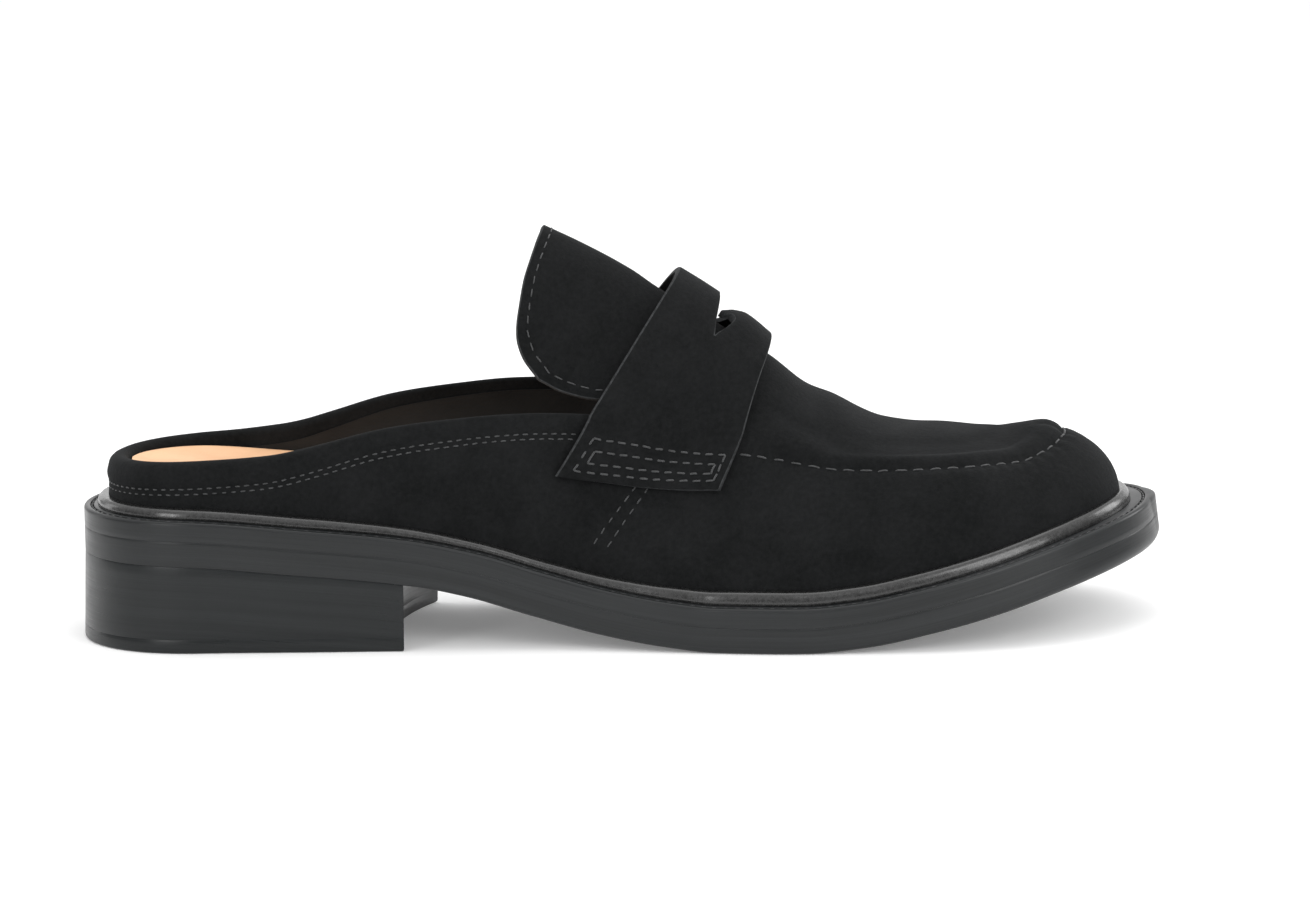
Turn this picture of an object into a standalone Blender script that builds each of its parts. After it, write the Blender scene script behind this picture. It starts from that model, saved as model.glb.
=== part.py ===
"""Right shoe of a suede penny-loafer mule, in the pieces that a maker puts together.

Metres, +Z up, toe towards +X, outer side of the foot towards -Y. The shoe stands on the
floor, Z = 0, and the origin is the middle of its box on the floor.

The outline of the tread is one closed loop. A place on the loop is a share of it: 0 at the
back of the heel, 0.5 at the toe, with the outer side of the foot first. A station is a share
of the sole's length, 0 at the heel and 1 at the toe. Each piece takes its place from the loop,
from the sole's side profile and from the ribs of the upper, which rise from the sole to the
top edge and, in front of the throat, on to the crown.
"""
import bmesh
import bpy
import numpy as np
from mathutils import Matrix

# Sole
SOLE_LENGTH = 0.266         # tread outline, heel to toe
BALL_WIDTH = 0.095          # tread outline, widest
OUTSOLE_THICKNESS = 0.0062
WELT_THICKNESS = 0.0045
HEEL_HEIGHT = 0.0215        # block under the outsole, at the back
TOE_SPRING = 0.0190         # underside of the toe above the floor
TREAD_ROUND = 0.0012        # rounded lower edge of the outsole
TREAD_ROUND_TOE = 0.0026    # rounder at the toe
HEEL_ROUND = 0.12           # share of the length taken by the round of the heel
HEEL_POWER = 2.1            # 2 is an ellipse, more is squarer
TOE_START = 0.74            # station where the round of the toe starts
TOE_POWER = 2.5

# Heel block
BREAST_OUTER = 0.0808       # heel breast from the back of the sole, outer corner
BREAST_INNER = 0.0852
BREAST_HOLLOW = 0.0058      # how far the breast curves in
HEEL_TAPER = 0.0004         # the block is this much narrower on each side at the floor
HEEL_RAKE = 0.0014          # its back stands this much further out at the floor

# Rim of the sole, and the rand that covers the join with the upper
RIM_WIDTH = 0.0060          # from the edge of the sole to the upper, at the sides
RIM_TOE_EXTRA = 0.0017      # wider round the toe
GROOVE_INSET = 0.0013       # stitch groove, from the edge of the sole
GROOVE_WIDTH = 0.0013
GROOVE_DEPTH = 0.0008
RAND_WIDTH = 0.0024
RAND_HEIGHT = 0.0032        # at the forefoot
RAND_TILT = 0.0007          # its top stands this much further out than its foot

# Upper
UPPER_WALL = 0.0020
COLLAR_WALL = 0.0048        # padded round the heel
TOPLINE_HEIGHT = 0.0384     # top edge above the rim of the sole, highest place
EDGE_INSET = 0.0200         # how far the top edge leans in at the toe
EDGE_LEAN = 0.0210          # how far a rib leans towards the toe, at the instep
WALL_BULGE = 0.0016
BULGE_START = 0.010         # height of a wall that starts to bulge
BULGE_FULL = 0.025
INSTEP_HEIGHT = 0.0806      # crown above the rim of the sole, at the end of the tongue
CROWN_POWER = 2.3           # roundness of the arch over the instep
THROAT = 0.425              # station of the rib where the open throat ends
SEAM_DISTANCE = 0.0060      # moccasin seam below the top edge
SEAM_ROLL = 0.0007          # raised roll above the seam
SEAM_DEPTH = 0.0006
SEAM_START = 0.572          # station where the raised seam comes out of the strap
SEAM_FADE = 0.030

# Tongue
TONGUE_LENGTH = 0.0414
TONGUE_WALL = 0.0022
TONGUE_SLOPE = 0.556        # angle above the horizontal, radians
TONGUE_DROP = 0.0345        # depth of its arch, where it is deepest
TONGUE_NARROWING = 0.0015   # on each side, behind the strap
TONGUE_SINK = 0.0008        # below the apron's surface, to clear the strap
TONGUE_BLEND = 0.0120       # length over which it narrows from the apron's width

# Saddle strap
STRAP_WALL = 0.0019
STRAP_GAP = 0.0006           # under the strap, over the upper
STRAP_REAR = 0.386          # stations of the ribs that its edges follow
STRAP_FRONT = 0.553
STRAP_LOW_REAR = 0.0195     # lower end above the rim of the sole
STRAP_LOW_FRONT = 0.0250
STRAP_LIFT = 0.0039         # how far it stands off the instep at the crown
STRAP_TUCK = 0.0050          # station by which the front edge runs back at its low end
SLOT_HALF_LENGTH = 0.0135
SLOT_PLACE = 0.48           # share of the strap's width, from its rear edge

# Insole
INSOLE_HEEL = 0.0108        # top above the rim of the sole, along its edge
INSOLE_FOREFOOT = 0.0045
INSOLE_CUP = 0.0016
INSOLE_GAP = 0.0009         # from the inside of the wall

FIT_GAP = 0.0003            # between pieces that meet

# Columns: station, outer half width, inner half width, both as shares of the ball width
OUTLINE = (
    (0.12, 0.340, 0.332),
    (0.20, 0.349, 0.322),
    (0.30, 0.358, 0.290),
    (0.42, 0.374, 0.284),
    (0.55, 0.442, 0.379),
    (0.66, 0.493, 0.468),
    (0.74, 0.497, 0.500),
)

# Columns: station, share of the heel's height, share of the toe spring, under the outsole
SOLE_PROFILE = (
    (0.000, 1.000, 0.000),
    (0.100, 0.977, 0.000),
    (0.200, 0.876, 0.000),
    (0.300, 0.750, 0.000),
    (0.360, 0.600, 0.000),
    (0.420, 0.375, 0.000),
    (0.480, 0.178, 0.000),
    (0.540, 0.052, 0.000),
    (0.585, 0.000, 0.000),
    (0.665, 0.000, 0.000),
    (0.720, 0.000, 0.065),
    (0.780, 0.000, 0.230),
    (0.840, 0.000, 0.435),
    (0.900, 0.000, 0.670),
    (0.960, 0.000, 0.880),
    (1.000, 0.000, 1.000),
)

# Columns: station, height of the top edge (outer, inner side), its inset (outer, inner), its lean
TOP_EDGE = (
    (0.000, 0.262, 0.262, 0.03, 0.03, 0.00),
    (0.110, 0.297, 0.303, 0.02, 0.02, 0.00),
    (0.170, 0.360, 0.378, 0.02, 0.02, 0.00),
    (0.226, 0.482, 0.510, 0.04, -0.03, 0.00),
    (0.270, 0.610, 0.652, 0.07, -0.09, 0.10),
    (0.316, 0.720, 0.768, 0.10, -0.14, 0.30),
    (0.345, 0.790, 0.840, 0.13, -0.17, 0.55),
    (0.386, 0.865, 0.902, 0.15, -0.18, 0.93),
    (0.434, 0.923, 0.932, 0.25, -0.10, 1.00),
    (0.492, 0.984, 0.984, 0.42, 0.12, 0.83),
    (0.556, 1.000, 1.000, 0.56, 0.36, 0.60),
    (0.640, 0.927, 0.927, 0.70, 0.62, 0.36),
    (0.720, 0.833, 0.833, 0.80, 0.78, 0.15),
    (0.800, 0.708, 0.708, 0.86, 0.86, 0.00),
    (0.860, 0.612, 0.612, 0.90, 0.90, 0.00),
    (0.930, 0.505, 0.505, 0.95, 0.95, 0.00),
    (0.970, 0.495, 0.495, 0.98, 0.98, 0.00),
    (1.000, 0.503, 0.503, 1.00, 1.00, 0.00),
)

# Columns: station of a rib's foot, station of its crown
CROWN_STATION = (
    (0.300, 0.440),
    (0.386, 0.545),
    (0.434, 0.573),
    (0.492, 0.603),
    (0.556, 0.635),
    (0.640, 0.680),
    (0.720, 0.731),
    (0.800, 0.777),
    (0.860, 0.807),
    (0.930, 0.832),
    (1.000, 0.850),
)

# Columns: station on the crown, height above the rim of the sole there
CROWN_PROFILE = (
    (0.435, 1.008),
    (0.469, 0.985),
    (0.515, 0.931),
    (0.537, 0.890),
    (0.564, 0.840),
    (0.600, 0.762),
    (0.641, 0.674),
    (0.675, 0.582),
    (0.698, 0.543),
    (0.720, 0.490),
    (0.744, 0.443),
    (0.767, 0.412),
    (0.790, 0.390),
    (0.837, 0.341),
    (0.861, 0.325),
    (0.885, 0.313),
)

# Columns: share of the slot's half length from the crown, how far its rear edge and its front
# edge open, as shares of the strap's width. The front edge comes back to a point at the crown.
SLOT_EDGES = (
    (0.00, 0.100, -0.004),
    (0.10, 0.094, 0.012),
    (0.25, 0.080, 0.088),
    (0.45, 0.056, 0.118),
    (0.70, 0.030, 0.080),
    (0.88, 0.011, 0.028),
    (1.00, 0.000, 0.000),
)

# Columns: share of the strap's width, lift off the apron at the crown, lift away from the slot
LIFT_PROFILE = (
    (0.00, 1.00, 1.00),
    (0.38, 1.10, 0.83),
    (0.48, 0.26, 0.78),
    (0.58, 0.60, 0.74),
    (0.70, 0.84, 0.68),
    (1.00, 0.56, 0.56),
)

# Columns: share of the tongue's width, share of its length
TONGUE_END = (
    (0.00, 1.000),
    (0.35, 0.988),
    (0.62, 0.951),
    (0.79, 0.883),
    (0.90, 0.806),
    (0.96, 0.705),
    (1.00, 0.560),
)

SUEDE_BLACK = (0.012, 0.012, 0.012)
SUEDE_ROUGHNESS = 0.95
EDGE_BLACK = (0.023, 0.025, 0.026)
EDGE_ROUGHNESS = 0.42

LOOP_STATIONS = 48
WALL_ROWS = 5
HEEL_ROWS = 14
HEEL_COLUMNS = 8


def through(rows, column, place, flat_ends=False):
    """Value of a table's column at places along its first column, with no overshoot."""
    across = np.array([row[0] for row in rows])
    value = np.array([row[column] for row in rows])
    step = np.diff(across)
    rise = np.diff(value) / step
    slope = np.zeros(len(across))
    before, after = rise[:-1], rise[1:]
    turning = before * after <= 0
    safe_before = np.where(turning, 1.0, before)
    safe_after = np.where(turning, 1.0, after)
    near, far = 2 * step[1:] + step[:-1], step[1:] + 2 * step[:-1]
    slope[1:-1] = np.where(turning, 0.0, (near + far) / (near / safe_before + far / safe_after))
    if not flat_ends:
        slope[0], slope[-1] = rise[0], rise[-1]
    place = np.clip(place, across[0], across[-1])
    cell = np.clip(np.searchsorted(across, place) - 1, 0, len(step) - 1)
    share = (place - across[cell]) / step[cell]
    start, end = value[cell], value[cell + 1]
    pull_start, pull_end = slope[cell] * step[cell], slope[cell + 1] * step[cell]
    square, cube = share ** 2, share ** 3
    return (start * (2 * cube - 3 * square + 1) + end * (3 * square - 2 * cube)
            + pull_start * (cube - 2 * square + share) + pull_end * (cube - square))


def fade(place, start, end):
    """0 before start, 1 after end, with a soft rise between them."""
    share = np.clip((place - start) / (end - start), 0.0, 1.0)
    return share * share * (3 - 2 * share)


def half_width(station, column):
    """Half width of the tread at a station: column 1 is the outer side, 2 the inner."""
    middle = through(OUTLINE, column, station, flat_ends=True)
    heel = np.clip(1 - station / HEEL_ROUND, 0.0, 1.0)
    toe = np.clip((station - TOE_START) / (1 - TOE_START), 0.0, 1.0)
    round_heel = (1 - heel ** HEEL_POWER) ** (1 / HEEL_POWER)
    round_toe = np.sqrt(1 - toe ** TOE_POWER)
    return BALL_WIDTH * middle * round_heel * round_toe


def loop_place(station, side):
    """Share of the loop at a station, on the outer (-1) or inner (+1) side."""
    share = np.arccos(1 - 2 * np.asarray(station)) / (2 * np.pi)
    return np.where(np.asarray(side) < 0, share, 1 - share)


def loop_station(place):
    """Station of a place on the loop."""
    return (1 - np.cos(2 * np.pi * place)) / 2


def outline(place):
    """Plan points of the tread's outline."""
    station = loop_station(place)
    outer = -half_width(station, 1)
    inner = half_width(station, 2)
    return np.stack([station * SOLE_LENGTH, np.where(place % 1.0 < 0.5, outer, inner)], -1)


def inward(place):
    """Plan direction from the outline towards the inside of the shoe."""
    reach = 2e-3
    along = outline(place + reach) - outline(place - reach)
    along /= np.linalg.norm(along, axis=-1, keepdims=True)
    return np.stack([-along[..., 1], along[..., 0]], -1)


def underside(x):
    """Height of the outsole's underside, and its slope, at a length from the heel."""
    def height(station):
        return ((HEEL_HEIGHT + FIT_GAP) * through(SOLE_PROFILE, 1, station)
                + TOE_SPRING * through(SOLE_PROFILE, 2, station))
    reach = 0.004
    station = x / SOLE_LENGTH
    slope = (height(station + reach) - height(station - reach)) / (2 * reach * SOLE_LENGTH)
    return height(station), slope


def on_sole(place, inset, up):
    """Points inside the outline by an inset and above the tread, square to the sole."""
    plan = outline(place) + np.asarray(inset)[..., None] * inward(place)
    height, slope = underside(plan[..., 0])
    length = np.sqrt(1 + slope ** 2)
    return np.stack([plan[..., 0] - up * slope / length, plan[..., 1], height + up / length], -1)


RIM_LEVEL = OUTSOLE_THICKNESS + FIT_GAP + WELT_THICKNESS


def rim_height(x):
    """Height of the rim that the upper stands on, at a length from the heel."""
    height, slope = underside(x)
    return height + RIM_LEVEL * np.sqrt(1 + slope ** 2)


def feather_inset(station):
    """Distance from the edge of the sole to the foot of the upper."""
    return RIM_WIDTH + RIM_TOE_EXTRA * fade(station, 0.80, 1.0)


def wall_thickness(station):
    """Wall of the upper, padded round the heel."""
    return COLLAR_WALL + (UPPER_WALL - COLLAR_WALL) * fade(station, 0.16, 0.34)


def rib_feet(place):
    """Outer foot of each rib, standing on the rim."""
    return on_sole(place, feather_inset(loop_station(place)), RIM_LEVEL + FIT_GAP)


def rib_tops(place):
    """Place of the top edge of the upper on each rib."""
    station = loop_station(place)
    feet = rib_feet(place)
    inner = place % 1.0 >= 0.5
    inset = np.where(inner, through(TOP_EDGE, 4, station), through(TOP_EDGE, 3, station))
    tall = np.where(inner, through(TOP_EDGE, 2, station), through(TOP_EDGE, 1, station))
    tops = feet.copy()
    tops[..., :2] += EDGE_INSET * inset[..., None] * inward(place)
    tops[..., 0] += EDGE_LEAN * through(TOP_EDGE, 5, station)
    tops[..., 2] += TOPLINE_HEIGHT * tall
    return tops


def crown(x):
    """Height of the crown of the instep and vamp at a length from the heel."""
    return rim_height(x) + INSTEP_HEIGHT * through(CROWN_PROFILE, 1, x / SOLE_LENGTH)


def rib(place, share):
    """Smooth outer surface. Share 0 to 1 is the wall, 1 to 2 the apron up to the crown."""
    station = loop_station(place)
    feet, tops = rib_feet(place), rib_tops(place)
    height = (tops - feet)[..., 2]
    out = np.concatenate([-inward(place), np.zeros(place.shape + (1,))], -1)
    lean_in = np.sum((feet - tops) * out, -1)
    roundness = fade(station, 0.45, 0.85)
    bulge = WALL_BULGE * fade(height, BULGE_START, BULGE_FULL)
    up = np.array([0.0, 0.0, 1.0])
    low = feet + (height * (0.40 + 0.15 * roundness))[..., None] * up + bulge[..., None] * out
    low[..., 0] += 0.30 * (tops - feet)[..., 0] * (1 - roundness)
    high = (tops - (height * (0.35 - 0.27 * roundness))[..., None] * up
            + (0.5 * lean_in * roundness + bulge)[..., None] * out)
    high[..., 0] -= 0.30 * (tops - feet)[..., 0] * (1 - roundness)
    wall = np.clip(share, 0.0, 1.0)[..., None]
    surface = ((1 - wall) ** 3 * feet + 3 * (1 - wall) ** 2 * wall * low
               + 3 * (1 - wall) * wall ** 2 * high + wall ** 3 * tops)
    apron = np.clip(share - 1.0, 0.0, 1.0)
    rise = 1 - (1 - apron) ** CROWN_POWER
    peak_x = SOLE_LENGTH * through(CROWN_STATION, 1, station)
    over = np.stack([tops[..., 0] + (peak_x - tops[..., 0]) * rise,
                     tops[..., 1] * (1 - apron),
                     tops[..., 2] + (crown(peak_x) - tops[..., 2]) * rise], -1)
    return np.where((share > 1.0)[..., None], over, surface)


def rib_normal(place, share):
    """Unit normal of the smooth outer surface, pointing out of the shoe."""
    share = np.minimum(share, 1.93)
    along = rib(place + 1e-3, share) - rib(place - 1e-3, share)
    rise = rib(place, share + 0.02) - rib(place, share - 0.02)
    cross = np.cross(along, rise)
    return cross / np.linalg.norm(cross, axis=-1, keepdims=True)


def relief(station, distance):
    """Height of the moccasin seam's roll and groove, at a distance below the top edge."""
    def bump(centre, width):
        return np.exp(-((distance - centre) / width) ** 2)
    seam = (SEAM_ROLL * bump(0.4 * SEAM_DISTANCE, 0.4 * SEAM_DISTANCE)
            - SEAM_DEPTH * bump(SEAM_DISTANCE, 0.2 * SEAM_DISTANCE)
            - 0.6 * SEAM_DEPTH * bump(-0.9 * SEAM_DISTANCE, 0.5 * SEAM_DISTANCE))
    return seam * fade(station, SEAM_START, SEAM_START + SEAM_FADE)


def material(name, colour, roughness):
    """Opaque material with one colour."""
    made = bpy.data.materials.new(name)
    made.use_nodes = True
    shader = made.node_tree.nodes["Principled BSDF"]
    shader.inputs["Base Color"].default_value = (*colour, 1.0)
    shader.inputs["Roughness"].default_value = roughness
    shader.inputs["Metallic"].default_value = 0.0
    made.diffuse_color = (*colour, 1.0)
    return made


def solid(name, patches, colour, roughness):
    """One closed body from grids of points whose edges coincide."""
    points, faces = [], []
    for patch in patches:
        rows, columns = patch.shape[:2]
        first = len(points)
        points.extend(patch.reshape(-1, 3))
        for row in range(rows - 1):
            for column in range(columns - 1):
                corner = first + row * columns + column
                faces.append((corner, corner + 1, corner + columns + 1, corner + columns))
    mesh = bpy.data.meshes.new(name)
    mesh.from_pydata([tuple(point) for point in points], [], faces)
    body = bmesh.new()
    body.from_mesh(mesh)
    bmesh.ops.remove_doubles(body, verts=body.verts, dist=2e-6)
    bmesh.ops.recalc_face_normals(body, faces=body.faces)
    body.to_mesh(mesh)
    body.free()
    mesh.shade_smooth()
    mesh.set_sharp_from_angle(angle=0.7)
    mesh.materials.append(material(name + "_finish", colour, roughness))
    made = bpy.data.objects.new(name, mesh)
    bpy.context.collection.objects.link(made)
    return made


def cap(ring, columns=1):
    """Grid that closes a ring by running across from its outer to its inner side."""
    half = (len(ring) - 1) // 2
    outer, inner = ring[:half + 1], ring[::-1][:half + 1]
    share = np.linspace(0.0, 1.0, columns + 1)[None, :, None]
    return outer[:, None] * (1 - share) + inner[:, None] * share


def loop_places():
    """Places of the ribs, once round the loop, with the first repeated at the end."""
    return np.linspace(0.0, 1.0, 2 * LOOP_STATIONS + 1)


def make_outsole():
    places = loop_places()
    station = loop_station(places)
    radius = TREAD_ROUND + (TREAD_ROUND_TOE - TREAD_ROUND) * fade(station, 0.80, 0.98)
    rings = [on_sole(places, radius, 0.0), on_sole(places, 0.3 * radius, 0.3 * radius),
             on_sole(places, 0.0, radius), on_sole(places, 0.0, OUTSOLE_THICKNESS)]
    patches = [np.stack(rings), cap(rings[0]), cap(rings[-1])]
    return solid("outsole", patches, EDGE_BLACK, EDGE_ROUGHNESS)


def make_welt():
    """Layer over the outsole, with a groove for its stitches round the rim."""
    places = loop_places()
    base = OUTSOLE_THICKNESS + FIT_GAP
    groove_end = GROOVE_INSET + GROOVE_WIDTH
    rings = [on_sole(places, 0.0, base),
             on_sole(places, 0.0, RIM_LEVEL),
             on_sole(places, GROOVE_INSET, RIM_LEVEL),
             on_sole(places, GROOVE_INSET + 0.25 * GROOVE_WIDTH, RIM_LEVEL - GROOVE_DEPTH),
             on_sole(places, groove_end - 0.25 * GROOVE_WIDTH, RIM_LEVEL - GROOVE_DEPTH),
             on_sole(places, groove_end, RIM_LEVEL)]
    patches = [np.stack(rings), cap(rings[0]), cap(rings[-1])]
    return solid("welt", patches, EDGE_BLACK, EDGE_ROUGHNESS)


def make_rand():
    """Glossy strip that stands on the rim against the foot of the upper."""
    places = loop_places()
    station = loop_station(places)
    inner = feather_inset(station) - FIT_GAP
    waist = 0.44 * fade(station, 0.20, 0.40) * (1 - fade(station, 0.42, 0.62))
    tall = RAND_HEIGHT * (1 - 0.25 * (1 - fade(station, 0.30, 0.60)) - 0.5 * waist)
    foot = RIM_LEVEL + FIT_GAP
    corners = [(inner, foot), (inner - RAND_WIDTH, foot),
               (inner - RAND_WIDTH, foot + 0.25 * tall),
               (inner - 0.50 * RAND_WIDTH, foot + 0.80 * tall), (inner - RAND_TILT, foot + tall),
               (inner, foot)]
    rings = [on_sole(places, inset, level) for inset, level in corners]
    return solid("rand", [np.stack(rings)], (0.015, 0.015, 0.015), 0.22)


def make_heel_block():
    """Stacked heel under the outsole, with its front hollowed to a curve."""
    across = np.linspace(0.0, 1.0, HEEL_COLUMNS + 1)
    along = 1 - np.cos(np.linspace(0.0, 0.5 * np.pi, HEEL_ROWS + 1))
    breast = (BREAST_OUTER + (BREAST_INNER - BREAST_OUTER) * across
              - 4 * BREAST_HOLLOW * across * (1 - across))
    x = along[:, None] * breast[None, :]
    outer = -half_width(along * BREAST_OUTER / SOLE_LENGTH, 1)
    inner = half_width(along * BREAST_INNER / SOLE_LENGTH, 2)
    y = outer[:, None] * (1 - across) + inner[:, None] * across
    top = np.stack([x, y, underside(x)[0] - FIT_GAP], -1)
    shrink = 1 - HEEL_TAPER / (0.34 * BALL_WIDTH)
    floor_x = x - HEEL_RAKE * (1 - along[:, None])
    floor = np.stack([floor_x, y * shrink, np.zeros_like(x)], -1)
    patches = [top, floor]
    for edge in (np.s_[:, 0], np.s_[:, -1], np.s_[-1, :]):
        patches.append(np.stack([top[edge], floor[edge]]))
    return solid("heel_block", patches, EDGE_BLACK, EDGE_ROUGHNESS)


def share_at(place, above):
    """Share of a rib's wall at a height above its foot."""
    sample = np.linspace(0.0, 1.0, 41)
    height = rib(np.full(41, place), sample)[:, 2]
    return np.interp(above, height - height[0], sample)


def make_insole():
    """Footbed that fits the upper's wall: thick and cupped under the heel, thin in front."""
    places = loop_places()
    station = loop_station(places)
    fit = wall_thickness(station) + INSOLE_GAP
    tall = INSOLE_HEEL + (INSOLE_FOREFOOT - INSOLE_HEEL) * fade(station, 0.30, 0.66)
    base = on_sole(places, feather_inset(station) + fit, RIM_LEVEL + FIT_GAP)
    share = np.minimum([share_at(*pair) for pair in zip(places, tall)], 0.95)
    edge = rib(places, share) - rib_normal(places, share) * fit[:, None]
    edge[:, 2] = np.maximum(edge[:, 2], rib_feet(places)[:, 2] + tall)
    edge[-1] = edge[0]
    top = cap(edge, 6)
    across = np.linspace(-1.0, 1.0, 7)
    heel_cup = INSOLE_CUP * (1 - fade(top[:, 0, 0], 0.25 * SOLE_LENGTH, 0.55 * SOLE_LENGTH))
    dish = np.minimum(1.0, 8 * np.linspace(0.0, 1.0, len(top)))
    top[..., 2] -= (heel_cup * dish)[:, None] * (1 - across ** 2)[None, :]
    return solid("insole", [np.stack([base, edge]), cap(base), top], (0.62, 0.42, 0.27), 0.55)


def rib_places():
    """Places of the upper's ribs, with one on each side exactly where the throat ends."""
    places = loop_places()
    for side in (-1, 1):
        throat = loop_place(THROAT, side)
        places[np.argmin(np.abs(places - throat))] = throat
    return places


def wall_shares(length):
    """Rows of the upper's wall: even below, and set by distance from the edge above."""
    below = np.array([2.0, 1.5, 1.0, 0.7, 0.35, 0.0]) * SEAM_DISTANCE
    near_edge = 1 - below[:, None] * np.minimum(1 / length, 0.8 / below[0])
    low = np.linspace(0.0, 1.0, WALL_ROWS)[:-1, None] * near_edge[0]
    return np.concatenate([low, near_edge])


def lip(outer, inner, raised):
    """Rounded edge between two surfaces, as a grid of three lines."""
    return np.stack([outer, (outer + inner) / 2 + raised, inner])


def make_upper():
    """Hollow suede shell: open at the collar and throat, and underneath."""
    places = rib_places()
    station = loop_station(places)
    outer_throat, inner_throat = (int(np.argmin(np.abs(places - loop_place(THROAT, side))))
                                  for side in (-1, 1))
    vamp = slice(outer_throat, inner_throat + 1)
    is_open = station < THROAT - 1e-6
    length = np.linalg.norm(rib_tops(places) - rib_feet(places), axis=-1)
    share = wall_shares(length)
    grid = np.broadcast_to(places, share.shape)
    wall = rib(grid, share)
    wall_normal = rib_normal(grid, np.where(is_open, np.minimum(share, 0.97), share))
    apron_share = 1 + np.array([0.0, 0.09, 0.19, 0.31, 0.47, 0.64, 0.82, 1.0])[:, None]
    apron_share = np.broadcast_to(apron_share, (len(apron_share), len(places[vamp])))
    apron_grid = np.broadcast_to(places[vamp], apron_share.shape)
    apron = rib(apron_grid, apron_share)
    apron_normal = rib_normal(apron_grid, apron_share)
    crest = apron_normal[-1] + apron_normal[-1, ::-1]
    crest[:, 1] = 0.0
    apron_normal[-1] = crest / np.linalg.norm(crest, axis=-1, keepdims=True)

    wall_relief = relief(station, (1 - share) * length)
    span = np.linalg.norm(apron[-1] - apron[0], axis=-1)
    apron_relief = relief(station[vamp], (1 - apron_share) * span)
    outer_wall = wall + wall_normal * wall_relief[..., None]
    outer_apron = apron + apron_normal * apron_relief[..., None]
    thickness = wall_thickness(station)
    inner_wall = wall - wall_normal * thickness[:, None]
    inner_wall[0] = on_sole(places, feather_inset(station) + thickness, RIM_LEVEL + FIT_GAP)
    inner_wall = inner_wall[[0, 1, 2, 3, 4, 6, 8, 9]]
    inner_apron = apron - apron_normal * UPPER_WALL

    patches = [outer_wall, inner_wall, outer_apron, inner_apron,
               np.stack([outer_wall[0], inner_wall[0]])]
    up = np.array([0.0, 0.0, 1.0])
    for edge in (slice(0, outer_throat + 1), slice(inner_throat, None)):
        raised = 0.35 * thickness[edge] * (1 - fade(station[edge], 0.9 * THROAT, THROAT))
        patches.append(lip(outer_wall[-1, edge], inner_wall[-1, edge], raised[:, None] * up))
    for column in (0, -1):
        patches.append(lip(outer_apron[:, column], inner_apron[:, column], 0.0))
    return solid("upper", patches, SUEDE_BLACK, SUEDE_ROUGHNESS)


def make_tongue():
    """Arched tab that carries the apron's surface on, back over the instep."""
    feet = loop_place(THROAT, np.array([-1, 1]))
    corners = rib(feet, np.array([1.0, 1.0]))
    butt = rib(feet, np.array([2.0, 2.0]))[0]
    back = np.array([-np.cos(TONGUE_SLOPE), 0.0, np.sin(TONGUE_SLOPE)])
    square = np.array([np.sin(TONGUE_SLOPE), 0.0, np.cos(TONGUE_SLOPE)])
    across = np.array([0.0, 0.35, 0.58, 0.74, 0.84, 0.91, 0.96, 1.0])
    across = np.concatenate([-across[:0:-1], across])[None, :]
    reach = TONGUE_LENGTH * through(TONGUE_END, 1, np.abs(across))
    rows = np.linspace(0.0, 1.0, 9)[:, None]
    along = FIT_GAP + rows * (reach - FIT_GAP)
    line_x = butt[0] + along * back[0]
    line = np.stack([line_x, 0 * line_x, crown(line_x)], -1)
    narrow = fade(along, 0.0, TONGUE_BLEND)
    corner = np.where((across < 0)[..., None], corners[0], corners[1])
    first_drop = np.sum((butt - corner) * square, -1)
    deep = first_drop + (TONGUE_DROP - first_drop) * fade(along, 0.0, 1.6 * TONGUE_BLEND)
    drop = (corner - butt) * (1 - narrow[..., None]) - deep[..., None] * square * narrow[..., None]
    half = np.abs(corner[..., 1]) - TONGUE_NARROWING * narrow
    trim = 0.97
    outer = line + drop * (trim * np.abs(across))[..., None] ** CROWN_POWER
    outer[..., 1] = half * trim * across
    cross = np.cross(np.gradient(outer, axis=1), np.gradient(outer, axis=0))
    normal = cross / np.linalg.norm(cross, axis=-1, keepdims=True)
    outer -= normal * TONGUE_SINK
    inner = outer - normal * TONGUE_WALL
    patches = [outer, inner]
    for edge in (np.s_[:, 0], np.s_[:, -1], np.s_[0, :], np.s_[-1, :]):
        patches.append(np.stack([outer[edge], inner[edge]]))
    return solid("tongue", patches, SUEDE_BLACK, SUEDE_ROUGHNESS)


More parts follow.
